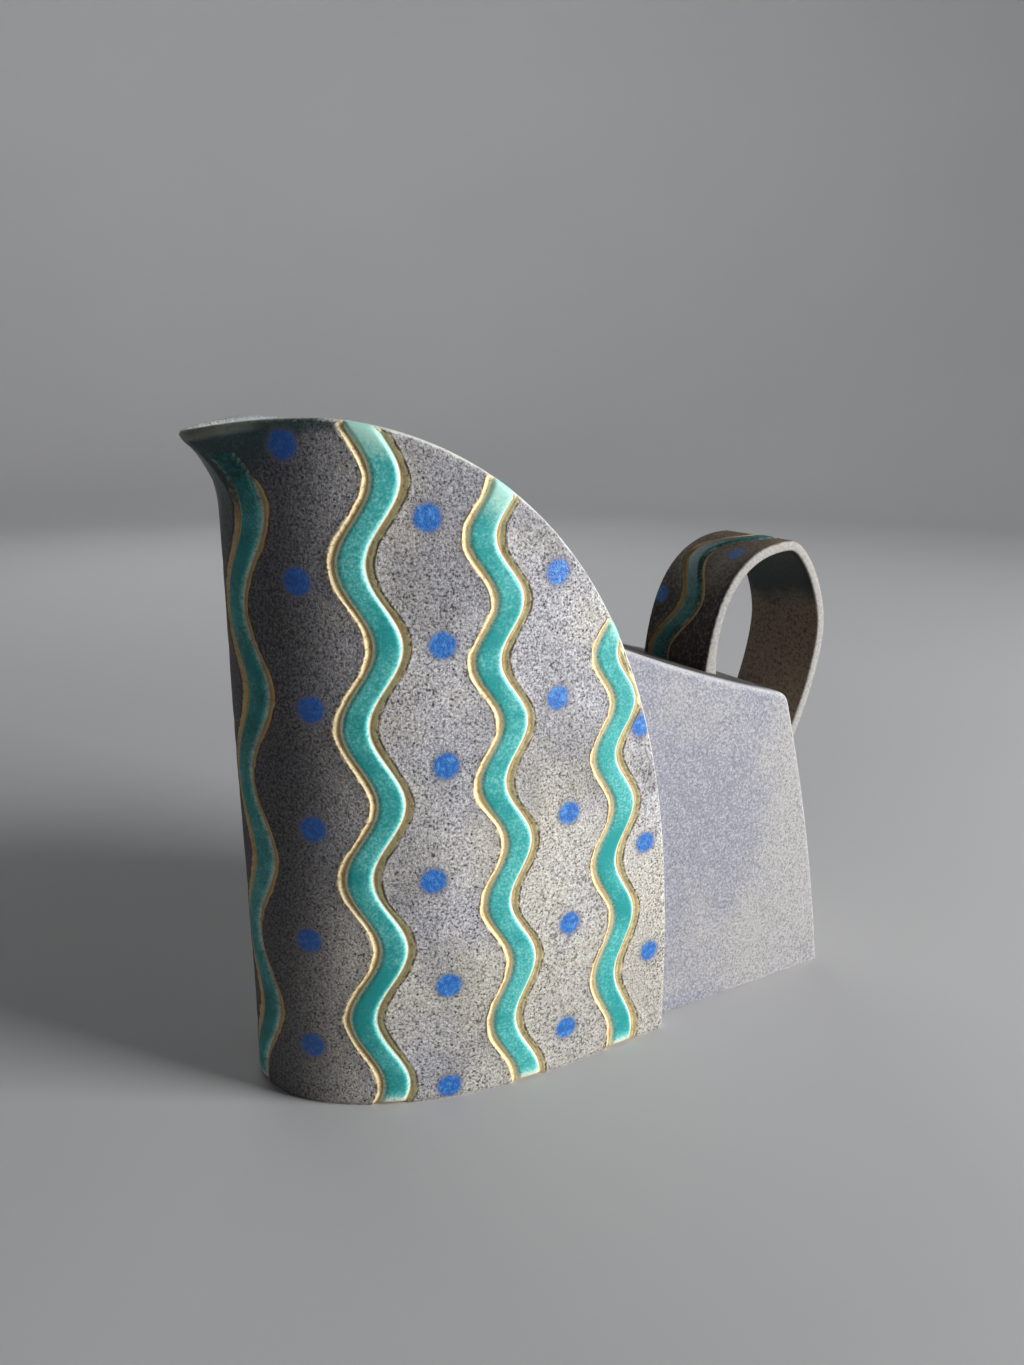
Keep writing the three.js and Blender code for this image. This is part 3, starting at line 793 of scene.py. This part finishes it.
def strap_clay():
    finish, tree, shader = new_finish("dark strap clay")
    run = tree.mark("up")
    grain = tree.group(CLAY_GRAIN, {
        "Cool": colour(0.035, 0.026, 0.018),
        "Warm": colour(0.2, 0.14, 0.092),
        "Dark grain": colour(0.01, 0.007, 0.005),
        "Pale grain": colour(0.26, 0.21, 0.165),
        # Painted shade towards the strap's front foot
        "Warmth": tree.ease(run, *STRAP_FOOT_SHADE_RUN) * 0.34 - 0.22,
        "Grains per metre": 1000.0,
        "Dark share": 0.75,
        "Pale share": 0.5,
        "Specks": 0.08,
    })
    shade = tree.group(GROOVE, {"Color": grain["Color"], "Paleness": 0.1})["Color"]
    shade, _ = brush_dots(tree, shade, tree.mark("along"), run, STRAP_DOTS)
    # The inner face towards the rear darkens as painted shade and is glossier as pooled glaze
    pooled = tree.ease(tree.ease(run, *STRAP_INSIDE_SHADE_RUN) + tree.drift(60, 4), 0.2, 0.8)
    pooled = tree.mark("within") * pooled
    shade = tree.mix(pooled * 0.9, shade, colour(0.006, 0.022, 0.024))
    rubbed = tree.ease(tree.noise(1100, 3, 0.75), 0.36, 0.62)
    bare = tree.mix(rubbed, colour(0.28, 0.262, 0.24), colour(0.4, 0.39, 0.375))
    shade = tree.group(PALE_EDGE, {"Color": shade, "Bare": bare, "Strength": 0.9})["Color"]
    set_surface(tree, shader, shade, tree.blend(pooled, 0.62, 0.45), grain["Height"], 0.3, 0.12)
    shader["Specular IOR Level"].default_value = 0.3
    return finish


def teal_glaze():
    finish, tree, shader = new_finish("teal glaze")
    cloud = tree.noise(70, 4, 0.6)
    fine = tree.noise(1500, 3, 0.75)
    drift = (fine - 0.5) * 0.3
    across = tree.mark("across") + drift
    shade = tree.bands(across, [
        (0.0, colour(0.045, 0.4, 0.38)),
        (0.6, colour(0.065, 0.44, 0.42)),
        (0.75, colour(0.16, 0.61, 0.56)),
        (0.84, colour(0.6, 0.81, 0.7)),
        (0.92, colour(0.9, 0.85, 0.67)),
        (1.0, colour(0.58, 0.44, 0.22)),
    ])
    pooled = tree.ease(cloud, 0.42, 0.6) * tree.ease(across, 0.85, 0.45)
    shade = tree.mix(pooled * 0.85, shade, colour(0.005, 0.28, 0.275))
    frosted = tree.ease(fine, 0.48, 0.64) * tree.ease(cloud, 0.68, 0.38)
    shade = tree.mix(frosted * 0.55, shade, colour(0.36, 0.7, 0.66))
    grains = tree.ease(fine, 0.47, 0.34)
    shade = tree.mix(grains * 0.55, shade, colour(0.01, 0.21, 0.2))
    thin = tree.ease(tree.mark("edge") + drift * 2.2, 0.1, 1.0)
    shade = tree.mix(thin * 0.85, shade, MINT)
    # On the nose and strap stripes the wash mark is painted shade
    shade, _ = washed(tree, shade)
    set_surface(tree, shader, shade, tree.blend(fine, 0.32, 0.62), fine + cloud * 2, 0.2, 0.15)
    shader["Specular IOR Level"].default_value = 0.35
    shader["Coat Weight"].default_value = 0.05
    shader["Coat Roughness"].default_value = 0.25
    return finish


def inside_glaze():
    finish, tree, shader = new_finish("inside glaze")
    shade, streaks = streaked_inside(tree)
    grain = tree.group(CLAY_GRAIN, {
        "Cool": colour(0.2, 0.24, 0.235),
        "Warm": colour(0.3, 0.31, 0.28),
        "Dark grain": colour(0.06, 0.07, 0.07),
        "Pale grain": colour(0.5, 0.5, 0.46),
        "Grains per metre": 1300.0,
        "Dark share": 0.6,
        "Pale share": 0.5,
        "Specks": 0.1,
    })
    shade = tree.mix(0.45, shade, grain["Color"])
    set_surface(tree, shader, shade, tree.blend(streaks, 0.3, 0.5), grain["Height"], 0.3, 0.12)
    return finish


SPECKLED_CLAY = speckled_clay()
BOX_CLAY = box_clay()
STRAP_CLAY = strap_clay()
TEAL_GLAZE = teal_glaze()
INSIDE_GLAZE = inside_glaze()

# The wrapped wall with its drawn lip and cut channels
NEAR_EDGE = 0.3
BEHIND_COLUMNS = [2.5, 5.0, 7.5, 10.0, WING_LENGTH]
WASH_RIM = 2.2
WASH_REACH = 30
WASH_SPREAD = 14
WASH_FADE = 22
LIP_TINT_SPREAD = 15
LIP_TINT_DROP = 0.7
LIP_SIDE = 22
LIP_SIDE_FADE = 9
WASHED_WEAR = 0.25

# Shares of the way over the rim, from the outer face to the inner one, where its looks change
RIM_BARE = ([0, 0.15, 0.3, 0.45, 0.6], [0, 0.4, 1, 0.8, 0.3])
RIM_DOTS_END = 0.2
RIM_WASH = (0.1, 0.6)
RIM_TINT = (0.35, 0.65)
RIM_WITHIN = (0.55, 0.95)


class WallColumns:
    """Columns along the stripes: from a middle line, a share of the way to the next, at an offset."""

    def __init__(self):
        behind = BURR_EDGE + np.array(BEHIND_COLUMNS)
        columns = [(0, 0.0, -far) for far in behind[::-1]]
        for line in range(len(WALL_LINES)):
            columns += [(line, 0.0, offset) for offset in groove_offsets()]
            if line < LAST_LINE:
                shares = np.linspace(0, 1, BETWEEN_STEPS + 1)[1:-1]
                columns += [(line, share, BURR_EDGE * (1 - 2 * share)) for share in shares]
        columns += [(LAST_LINE, 0.0, far) for far in behind]
        lines, self.over, self.offset = np.array(columns).T
        self.line = lines.astype(int)
        self.next_line = np.minimum(self.line + 1, LAST_LINE)
        self.turn_edge = float(edge_at(RIM_TURN, RIM_ROUND))
        reach = np.abs(self.at(np.full(len(lines), RIM_TURN)))
        self.flat = np.flatnonzero(reach < self.turn_edge - 0.01)
        self.roll = 1 + LIP_ROLL * bell(self.flat_at(np.full(len(self.flat), LIP_SEAM)), LIP_SPREAD)
        self.tops = {
            inset: column_tops(self.flat_at, inset * self.roll, len(self.flat))
            for inset, _ in edge_round(RIM_ROUND)
        }

    def at(self, z, chosen=slice(None)):
        middles = np.stack([side * sway_at(wave, z) for side, wave in WALL_LINES])
        here = np.choose(self.line[chosen], middles)
        there = np.choose(self.next_line[chosen], middles)
        return here + (there - here) * self.over[chosen] + self.offset[chosen]

    def flat_at(self, z):
        """The columns that reach the flat part of the rim."""
        return self.at(z, self.flat)


def lip_wash(along, below):
    """The green wash over the lip, deep at the tip and thin along the rim beside it."""
    reach = WASH_RIM + WASH_REACH * bell(along, WASH_SPREAD)
    fade = bell(np.clip(np.abs(along) - WASH_SPREAD, 0, None), WASH_FADE)
    return (1 - np.clip(below / reach, 0, 1)) * fade


def lip_bead(along, below, up):
    """How far the rolled edge stands out at the tip of the lip."""
    return LIP_BEAD * bell(along, LIP_BEAD_SPREAD) * bell(below, LIP_BEAD_DROP) * (up > LIP_SEAM)


def lip_tint(along, up):
    return bell(along, LIP_TINT_SPREAD) * (up > LIP_SEAM)


def low_sheet(columns):
    """Level rows that stop at the rim, up to the height where it turns flat."""
    up = np.repeat(WALL_HEIGHTS[:, None], len(columns.line), axis=1)
    edge = edge_at(up, RIM_ROUND)
    along = np.clip(columns.at(up), -edge, edge)
    return along, up, edge - np.abs(along), 0.0


def high_sheet(columns):
    """Columns from the height where the rim turns flat up to the rim, with a corner on each wing."""
    rise = np.linspace(0, 1, RIM_ROWS)[:, None]
    tops = columns.tops[RIM_ROUND]
    up = RIM_TURN + rise * (tops - RIM_TURN)
    corner = columns.turn_edge * np.ones_like(rise)
    along = np.concatenate([-corner, columns.flat_at(up), corner], axis=1)
    up = np.pad(up, ((0, 0), (1, 1)), constant_values=RIM_TURN)
    below = np.pad(tops - RIM_TURN, 1) * (1 - rise)
    return along, up, below, lip_wash(along, below)


def add_wall_faces(wall, along, up, below, wash):
    """The outer face with its channels, and the inner face behind it."""
    cut, groove = cut_at(along, up)
    depth = cut + foot_relief(along, up) - lip_bead(along, below, up)
    near = NEAR_EDGE * (1 - smooth(below))
    lip = lip_tint(along, up) * (1 - smooth(below / LIP_TINT_DROP))
    outside = wall_point(along, depth, up)
    wall.add_sheet(outside, along=along, up=up, groove=groove, wash=wash, edge=near, lip=lip)
    wall.add_sheet(wall_point(along, SLAB, up), along=AWAY, up=up, groove=PLAIN_MARK, within=1.0)


def add_rim(wall, columns):
    """Rings over the rounded rim from outer face to inner, each up one wing and down the other."""
    edges = edge_rings(RIM_ROUND, RIM_ROUND, SLAB)
    along, up = [], []
    for inset, _ in edges:
        wing = edge_at(WALL_HEIGHTS, inset)
        tops = columns.tops[inset]
        along.append(np.concatenate([-wing, columns.flat_at(tops), wing[::-1]]))
        up.append(np.concatenate([WALL_HEIGHTS, tops, WALL_HEIGHTS[::-1]]))
    along, up = np.array(along), np.array(up)
    share = np.linspace(0, 1, len(edges))[:, None]
    outer = 1 - share
    roll = np.pad(columns.roll, len(WALL_HEIGHTS), constant_values=1)
    deep = np.array([depth for _, depth in edges])[:, None]
    deep = np.where(share < 0.5, deep * roll, deep)
    cut, groove = cut_at(along[:1], up[:1])
    depth = np.maximum(deep + np.minimum(cut, 0) * outer, cut * outer) + foot_relief(along, up) * outer
    rings = wall_point(along, depth - lip_bead(along, share * RIM_GIRTH, up), up)
    beside = bell(np.clip(np.abs(along) - LIP_SIDE, 0, None), LIP_SIDE_FADE)
    wall.add_sheet(
        rings,
        along=along + AWAY * (share > RIM_DOTS_END),
        up=up,
        groove=groove + PLAIN_MARK * share,
        wash=beside * (1 - ramp(share, *RIM_WASH)),
        edge=(NEAR_EDGE + (1 - NEAR_EDGE) * np.interp(share, *RIM_BARE)) * (1 - (1 - WASHED_WEAR) * beside),
        lip=lip_tint(along, up) * (1 - ramp(share, *RIM_TINT)),
        within=ramp(share, *RIM_WITHIN),
    )
    return rings


def jug_wall():
    """Wall and lip in one body, closed over the rim, under the foot and at the wings' ends."""
    columns = WallColumns()
    wall = Body()
    low = low_sheet(columns)
    for sheet in (low, high_sheet(columns)):
        add_wall_faces(wall, *sheet)
    rings = add_rim(wall, columns)
    along, up = low[0][0], low[1][0]
    cut, _ = cut_at(along, up)
    outer_foot = wall_point(along, cut + foot_relief(along, up), up)
    wall.add_sheet(np.stack([outer_foot, wall_point(along, SLAB, up)]), groove=PLAIN_MARK, along=AWAY)
    for end in (0, -1):
        wall.add_cap(rings[:, end], groove=PLAIN_MARK, along=AWAY)
    add_piece("jug_wall", wall, SPECKLED_CLAY, ["front_wall", "pouring_lip"])


# Glaze stripes, pillowed between their grooves
FOOT_THINNING = 9
RIM_THINNING = 9
# Painted shade: a floor on the nose stripe's wash darkens the whole stripe
NOSE_STRIPE_SHADE = 0.42
NOSE_WASH_RUN = 14
# Painted shade: the wash over the strap's stripe darkens it all along
STRAP_STRIPE_SHADE = 0.62
PILLOW_ACROSS = np.abs(PILLOW) / STRIPE_HALF


def pillow_depth(offset, end=1.0):
    """Depth of the glaze across its width: softly crowned, with long flanks down to the groove's floor."""
    away = np.clip(np.abs(offset) / STRIPE_HALF, 0, 1)
    dome = (1 - smooth((away - FLANK_START) / (1 - FLANK_START))) * (1 - GLAZE_CROWN * away * away)
    return GROOVE_DEPTH - (GROOVE_DEPTH + GLAZE_RISE) * dome * end


def foot_end(up):
    """How high the glaze stands near its rounded foot."""
    t = np.clip(1 - (up - GLAZE_FOOT) / GLAZE_END, 0, 1)
    return np.sqrt(1 - t * t)


def stripe_rows(top):
    """Heights of a stripe's rows, close together at its rounded foot."""
    foot = GLAZE_FOOT + np.array(STRIPE_FOOT_ROWS)
    return np.concatenate([foot[:-1], np.linspace(foot[-1], top, STRIPE_ROWS)])


def glaze_bed(depth):
    """The underside of the glaze, just below the channel's floor."""
    return np.maximum(depth + GLAZE_SKIN, GLAZE_BED)


def add_stripe(name, along, up, depth, across, **marks):
    """The pillow on its bed, its glaze thin at the foot too."""
    across = np.maximum(across, 1 - (up - GLAZE_FOOT) / FOOT_THINNING)
    sway = waver(along, up)
    top = wall_point(along, depth + sway, up)
    glaze = Body()
    glaze.add_between(top, wall_point(along, glaze_bed(depth) + sway, up), across=across, **marks)
    add_piece(name, glaze, TEAL_GLAZE, [name])


def nose_stripe():
    """Dies out towards the tip of the lip, under the wash, and is darkened all over by painted shade."""
    up = np.repeat(stripe_rows(NOSE_STRIPE_TOP)[:, None], len(PILLOW), axis=1)
    along = sway_at(NOSE_WAVE, up) + PILLOW
    depth = pillow_depth(PILLOW, foot_end(up)) * nose_fade(up)
    wash = np.maximum(lip_wash(along, WALL_HEIGHT - LIP_DROOP - up), NOSE_STRIPE_SHADE)
    wash = np.maximum(wash, smooth((up - NOSE_STRIPE_TOP) / NOSE_WASH_RUN + 1))
    add_stripe("nose_stripe", along, up, depth, PILLOW_ACROSS, wash=wash)


def rim_stripe(name, side, wave):
    """Runs up and over the flat part of the rim."""
    def along_at(z):
        return side * sway_at(wave, z) + PILLOW

    top = column_tops(along_at, RIM_ROUND, len(PILLOW))
    rows = (stripe_rows(WALL_HEIGHT) - GLAZE_FOOT) / (WALL_HEIGHT - GLAZE_FOOT)
    up = GLAZE_FOOT + rows[:, None] * (top - GLAZE_FOOT)
    depth = pillow_depth(PILLOW, foot_end(up))
    thin = np.clip(1 - (top - up) / RIM_THINNING, 0, 1)
    for inset, deep in edge_round(RIM_ROUND)[1:]:
        up = np.concatenate([up, column_tops(along_at, inset, len(PILLOW))[None]])
        depth = np.concatenate([depth, (deep + pillow_depth(PILLOW))[None]])
        thin = np.concatenate([thin, np.ones((1, len(PILLOW)))])
    add_stripe(name, along_at(up), up, depth, PILLOW_ACROSS, edge=thin)


def rear_stripe(name, side):
    """Runs out along the steep part of the rim, which cuts it at a slant."""
    heights = np.linspace(0, WALL_HEIGHT, SEARCH_STEPS)
    gone = sway_at(REAR_WAVE, heights) - STRIPE_HALF > edge_at(heights, 0.0)
    rows = stripe_rows(heights[gone][0])[:, None]
    middle = sway_at(REAR_WAVE, rows)
    flat = np.minimum(middle + PILLOW, edge_at(rows, RIM_ROUND))
    insets = [inset for inset, _ in edge_round(RIM_ROUND)[1:]]
    rounded = [np.minimum(middle + STRIPE_HALF, edge_at(rows, inset)) for inset in insets]
    out = np.concatenate([flat, *rounded], axis=1)
    up = np.broadcast_to(rows, out.shape)
    depth = pillow_depth(out - middle, foot_end(up)) + rim_drop(out, up)
    thin = np.clip(1 - (edge_at(up, 0.0) - out) / RIM_THINNING * 2, 0, 1)
    add_stripe(name, side * out, up, depth, np.abs(out - middle) / STRIPE_HALF, edge=thin)


# The rear box
FACE_WEAR = [0.0, 0.2, 0.75, 1.0]
SEAM_WEAR = 0.7
SHARPEST_MITRE = 0.4
CLEAR_OF_SPLIT = 0.2
CLEAR_OF_FRONT = 0.01
CLEAR_OF_BACK = 0.5


def side_points(x, z):
    return np.stack(np.broadcast_arrays(x, z), axis=-1)


def box_outline(front):
    """The box in side view from a front edge: up the back, round the corner and along the shoulder."""
    low = np.linspace(0, BACK_HEIGHT - CORNER_RADIUS, OUTLINE_STEPS)
    high = np.linspace(BACK_TOP - CORNER_RADIUS, front, OUTLINE_STEPS)
    corner_from = np.array([back_at(low[-1]), low[-1]])
    corner_to = np.array([high[0], shoulder_at(high[0])])
    turn = np.array([BACK_TOP, BACK_HEIGHT])
    t = np.linspace(0, 1, CORNER_STEPS)[1:-1, None]
    upright = np.linspace(shoulder_at(front), 0, UPRIGHT_STEPS)[1:-1]
    return np.concatenate([
        [(front, 0)],
        side_points(back_at(low), low),
        (1 - t) ** 2 * corner_from + 2 * t * (1 - t) * turn + t * t * corner_to,
        side_points(high, shoulder_at(high)),
        side_points(front, upright),
    ])


def drawn_in(outline, inset):
    """The outline moved in by inset, mitred at its corners."""
    before = outline - np.roll(outline, 1, axis=0)
    after = np.roll(outline, -1, axis=0) - outline
    before /= np.linalg.norm(before, axis=1, keepdims=True)
    after /= np.linalg.norm(after, axis=1, keepdims=True)
    normal = np.stack([-(before + after)[:, 1], (before + after)[:, 0]], axis=-1)
    normal /= np.linalg.norm(normal, axis=1, keepdims=True)
    mitre = np.clip(-before[:, 1] * normal[:, 0] + before[:, 0] * normal[:, 1], SHARPEST_MITRE, 1)
    return outline + normal * (inset / mitre)[:, None]


def add_slab(name, outline, near, far, near_round=SEAM_ROUND, brushed=0.0):
    """A slab with softened edges, its outline drawn as (x, z) and its faces at near and far in y."""
    way = 1 if far > near else -1
    thickness = abs(far - near)
    rings = [(near_round + FACE_MARGIN, 0.0)]
    rings += edge_rings(near_round, SEAM_ROUND, thickness)
    rings += [(SEAM_ROUND + FACE_MARGIN, thickness)]
    sheets = []
    for inset, deep in rings:
        moved = drawn_in(outline, inset)
        y = np.full(len(moved), near + way * deep)
        sheets.append(np.stack([moved[:, 0], y, moved[:, 1]], axis=-1))
    closed = np.array([np.concatenate([sheet, sheet[:1]]) for sheet in sheets])
    edge = np.array(FACE_WEAR + [SEAM_WEAR] * (len(rings) - len(FACE_WEAR)))[:, None]
    slab = Body()
    slab.add_sheet(closed, edge=edge * (1 - brushed), brushed=brushed)
    slab.add_cap(sheets[0], edge=0.0)
    slab.add_cap(sheets[-1], edge=0.0)
    add_piece(name, slab, BOX_CLAY, [name])


def shoulder_outline(split):
    """The shoulder slab in side view, from its split with the back over its top and back underneath."""
    rear = box_outline(SHOULDER_FRONT)
    top = rear[(rear[:, 1] > split + CLEAR_OF_SPLIT) & (rear[:, 0] > SHOULDER_FRONT + CLEAR_OF_FRONT)]
    under = np.linspace(SHOULDER_FRONT, BACK_TOP - CLEAR_OF_BACK, UNDER_STEPS)
    return np.concatenate([
        [(back_at(split), split)],
        top,
        [(SHOULDER_FRONT, SHOULDER_HEIGHT)],
        side_points(under, under_shoulder_at(under)),
    ])


def back_outline(split):
    low = np.linspace(0, split - SEAM, OUTLINE_STEPS)
    return np.concatenate([side_points(back_at(low), low), side_points(inside_back_at(low), low)[::-1]])


def rear_box():
    side = box_outline(LAP_FRONT)
    for name, way in (("rear_side_left", -1), ("rear_side_right", 1)):
        add_slab(name, side, way * (REAR_HALF - SEAM), way * REAR_INSIDE, SLAB_ROUND)
    split = float(under_shoulder_at(BACK_TOP))
    # The shoulder's dark brushed glaze paints the shade under the handle
    add_slab("shoulder_slab", shoulder_outline(split), -REAR_INSIDE, REAR_INSIDE, brushed=1.0)
    add_slab("rear_back", back_outline(split), -REAR_INSIDE, REAR_INSIDE)


# The strap handle and its stripe
STRAP_WEAR = ([0.3, 1], [1, 0.75])
STRAP_RUBBED = 0.5


def curve_points(start, end, first, second):
    """A curve from start to end, with handles that go a share of the way to the other end in x and in z."""
    t = np.linspace(0, 1, CURVE_STEPS)[:, None]
    start, end = np.array(start), np.array(end)
    near = start + (end - start) * first
    far = end + (start - end) * second
    return (1 - t) ** 3 * start + 3 * t * (1 - t) ** 2 * near + 3 * t * t * (1 - t) * far + t ** 3 * end


def strap_path():
    foot_x = BACK_TOP - STRAP_SETBACK
    foot = (foot_x, shoulder_at(foot_x) - SLAB / 2)
    crown = (foot_x + STRAP_CROWN, shoulder_at(foot_x) + STRAP_RISE)
    rear = (BACK_TOP + STRAP_OVERHANG, STRAP_REAR_HEIGHT)
    end = (back_at(STRAP_FOOT_HEIGHT) - SLAB / 2, STRAP_FOOT_HEIGHT)
    line = np.concatenate([
        curve_points(foot, crown, (0, STRAP_FRONT_FULLNESS), (STRAP_FRONT_FULLNESS, 0)),
        curve_points(crown, rear, (STRAP_REAR_FULLNESS, 0), (0, STRAP_REAR_FULLNESS))[1:],
        curve_points(rear, end, (0, STRAP_TAIL_DROP), (STRAP_TAIL_TUCK, STRAP_TAIL_LIFT))[1:],
    ])
    return measured(line[:, 0], line[:, 1])


STRAP_LINE = strap_path()
STRAP_LENGTH = STRAP_LINE[0][-1]


def strap_thickness(run):
    nearest = np.minimum(run, STRAP_LENGTH - run)
    return STRAP_THICKNESS + STRAP_FLARE * np.clip(1 - nearest / STRAP_FLARE_RUN, 0, 1) ** 2


def strap_runs(ends, rows):
    return np.linspace(ends[0], STRAP_LENGTH - ends[1], rows)[:, None]


def strap_point(across, depth, run):
    """A point of the strap: across to the left, a depth below the outer face, a run from the front foot."""
    across, depth, run = np.broadcast_arrays(across, depth, run)
    x, z, ahead_x, ahead_z = (np.interp(run, STRAP_LINE[0], row) for row in STRAP_LINE[1:])
    out = strap_thickness(run) / 2 - depth
    return np.stack([x - ahead_z * out, -across, z + ahead_x * out], axis=-1)


def strap_outside(runs):
    """Across, depth, groove and edge marks of the strap's outer face, from its left edge to its right one."""
    middle = sway_at(STRAP_WAVE, runs)
    offsets = groove_offsets()[::-1]
    flat_half = STRAP_HALF - STRAP_ROUND
    steps = np.linspace(0, 1, STRAP_SIDE_STEPS + 1)[:-1]
    left = flat_half + (middle + BURR_EDGE - flat_half) * steps
    right = -flat_half + (middle - BURR_EDGE + flat_half) * steps[::-1]
    across = np.concatenate([left, middle + offsets, right], axis=1)
    depth = np.pad(groove_depth(offsets), len(steps))
    groove = np.pad(groove_mark(offsets), len(steps), constant_values=PLAIN_MARK)
    edge = np.zeros(len(depth))
    edge[[0, -1]] = STRAP_RUBBED
    return across, depth, groove, edge


def handle_strap():
    """Bands round the strap's section: outer face, right edge, inner face, left edge, closing line."""
    runs = strap_runs(STRAP_ENDS, STRAP_ROWS)
    thick = strap_thickness(runs)
    across, depth, groove, edge = strap_outside(runs)
    turn = edge_round(STRAP_ROUND)[1:]
    turn_across = np.array([STRAP_HALF - inset for inset, _ in turn + turn[::-1]])
    turn_depth = np.array([deep for _, deep in turn])
    turn_depth = np.concatenate([turn_depth + 0 * thick, thick - turn_depth[::-1]], axis=1)
    worn = np.interp(np.abs(np.linspace(-1, 1, len(turn_across))), *STRAP_WEAR)
    flat_half = STRAP_HALF - STRAP_ROUND
    inner_across = np.linspace(-flat_half, flat_half, STRAP_INSIDE_COLUMNS)
    bands = [
        (across, depth, groove, edge, 0.0),
        (-turn_across, turn_depth, PLAIN_MARK, worn, 0.0),
        (inner_across, thick, PLAIN_MARK, 0.0, 1.0),
        (turn_across, turn_depth[:, ::-1], PLAIN_MARK, worn, 0.0),
        (across[:, :1], 0.0, PLAIN_MARK, STRAP_RUBBED, 0.0),
    ]
    widths = [band[0].shape[-1] for band in bands]
    joined = []
    for values in zip(*bands):
        spread = [np.broadcast_to(value, (STRAP_ROWS, width)) for value, width in zip(values, widths)]
        joined.append(np.concatenate(spread, axis=1))
    across, depth, groove, edge, within = joined
    points = strap_point(across, depth, runs)
    along = np.where(within > 0, AWAY, across)
    strap = Body()
    strap.add_sheet(points, along=along, up=runs, groove=groove, edge=edge, within=within)
    for end in (0, -1):
        strap.add_cap(points[end, :-1], groove=PLAIN_MARK, along=AWAY)
    add_piece("handle_strap", strap, STRAP_CLAY, ["handle_strap"])


def handle_stripe():
    runs = strap_runs(STRAP_STRIPE_ENDS, STRAP_STRIPE_ROWS)
    across = sway_at(STRAP_WAVE, runs) + PILLOW
    depth = pillow_depth(PILLOW)
    top = strap_point(across, depth, runs)
    under = strap_point(across, glaze_bed(depth), runs)
    glaze = Body()
    # The strap stripe's wash is painted shade
    glaze.add_between(top, under, across=PILLOW_ACROSS, wash=STRAP_STRIPE_SHADE)
    add_piece("handle_stripe", glaze, TEAL_GLAZE, ["handle_stripe"])


INSIDE_NODES = [
    "base_slab", "nose_base_coil", "left_back_coil", "right_back_coil", "left_lap_coil", "right_lap_coil",
]


def glaze_inside():
    """The floor and the coils keep their own solids and take the inside glaze."""
    for name in INSIDE_NODES:
        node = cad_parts[name]
        node.data.materials.clear()
        node.data.materials.append(INSIDE_GLAZE)


jug_wall()
nose_stripe()
for hand, side in (("left", LEFT), ("right", RIGHT)):
    rim_stripe(f"{hand}_stripe_1", side, FRONT_WAVE)
    rim_stripe(f"{hand}_stripe_2", side, MIDDLE_WAVE)
    rear_stripe(f"{hand}_stripe_3", side)
rear_box()
handle_strap()
handle_stripe()
glaze_inside()

# The camera at the photo's angle and the studio, in metres and degrees, with the lens in millimetres
CAMERA_PLACE = (-0.14275, -0.2315, 0.1695)
CAMERA_TILT = 74.59
CAMERA_TURN = -30
CAMERA_LENS = 27.03
CAMERA_SENSOR = 36
FLOOR_RINGS = [0, 0.4, 0.9]
FLOOR_RADIUS = 1.3
FLOOR_SWEEP = 0.7
FLOOR_WALL = 2.2
JUG_MIDDLE = (0, 0, 0.08)
WORLD_STRENGTH = 0.014


def photo_camera():
    data = bpy.data.cameras.new("photo view")
    data.sensor_width = CAMERA_SENSOR
    data.lens = CAMERA_LENS
    camera = add_object("photo view", data)
    camera.location = CAMERA_PLACE
    camera.rotation_euler = (math.radians(CAMERA_TILT), 0, math.radians(CAMERA_TURN))
    bpy.context.scene.camera = camera


def pale_floor():
    """A wide dish: flat under the jug, with its far rim swept up all round."""
    turn = np.linspace(0, 2 * math.pi, FLOOR_STEPS + 1)
    sweep = np.linspace(0, math.pi / 2, SWEEP_STEPS)
    swept = FLOOR_RADIUS + FLOOR_SWEEP * np.sin(sweep)
    radius = np.concatenate([FLOOR_RINGS, swept, [FLOOR_RADIUS + FLOOR_SWEEP]])[:, None]
    flat = np.zeros(len(FLOOR_RINGS))
    height = np.concatenate([flat, FLOOR_SWEEP * (1 - np.cos(sweep)), [FLOOR_WALL]])[:, None]
    points = np.stack([radius * np.cos(turn), radius * np.sin(turn), height + 0 * turn], axis=-1)
    mesh = bpy.data.meshes.new("pale floor")
    mesh.from_pydata(points.reshape(-1, 3).tolist(), [], grid_faces(*points.shape[:2]))
    weld(mesh)
    mesh.shade_smooth()
    floor = add_object("pale_floor", mesh)
    finish, tree, shader = new_finish("pale floor")
    shade = tree.mix(tree.noise(3), colour(0.48, 0.485, 0.495), colour(0.52, 0.52, 0.525))
    tree.feed(shader["Base Color"], shade)
    shader["Roughness"].default_value = 0.9
    mesh.materials.append(finish)


def soft_light(name, place, aim, size, power):
    data = bpy.data.lights.new(name, "AREA")
    data.shape = "RECTANGLE"
    data.size, data.size_y = size
    data.energy = power
    light = add_object(name, data)
    light.location = place
    ahead = np.array(aim) - np.array(place)
    pitch = math.atan2(math.hypot(ahead[0], ahead[1]), -ahead[2])
    light.rotation_euler = (pitch, 0, math.atan2(ahead[1], ahead[0]) - math.pi / 2)


def studio_light():
    soft_light("key light", (0.88, -0.9, 0.42), JUG_MIDDLE, size=(0.5, 0.6), power=27)
    soft_light("back light", (0.1, 1.0, 0.75), JUG_MIDDLE, size=(0.8, 0.6), power=2.4)
    soft_light("backdrop light", (0.2, 0.5, 1.2), aim=(0.6, 2.0, 0.7), size=(0.8, 0.5), power=5)
    world = bpy.data.worlds.new("studio")
    world.use_nodes = True
    sky = world.node_tree.nodes["Background"].inputs
    sky["Color"].default_value = colour(0.9, 0.93, 1.0)
    sky["Strength"].default_value = WORLD_STRENGTH
    bpy.context.scene.world = world
    bpy.context.scene.view_settings.view_transform = "Standard"


photo_camera()
pale_floor()
studio_light()
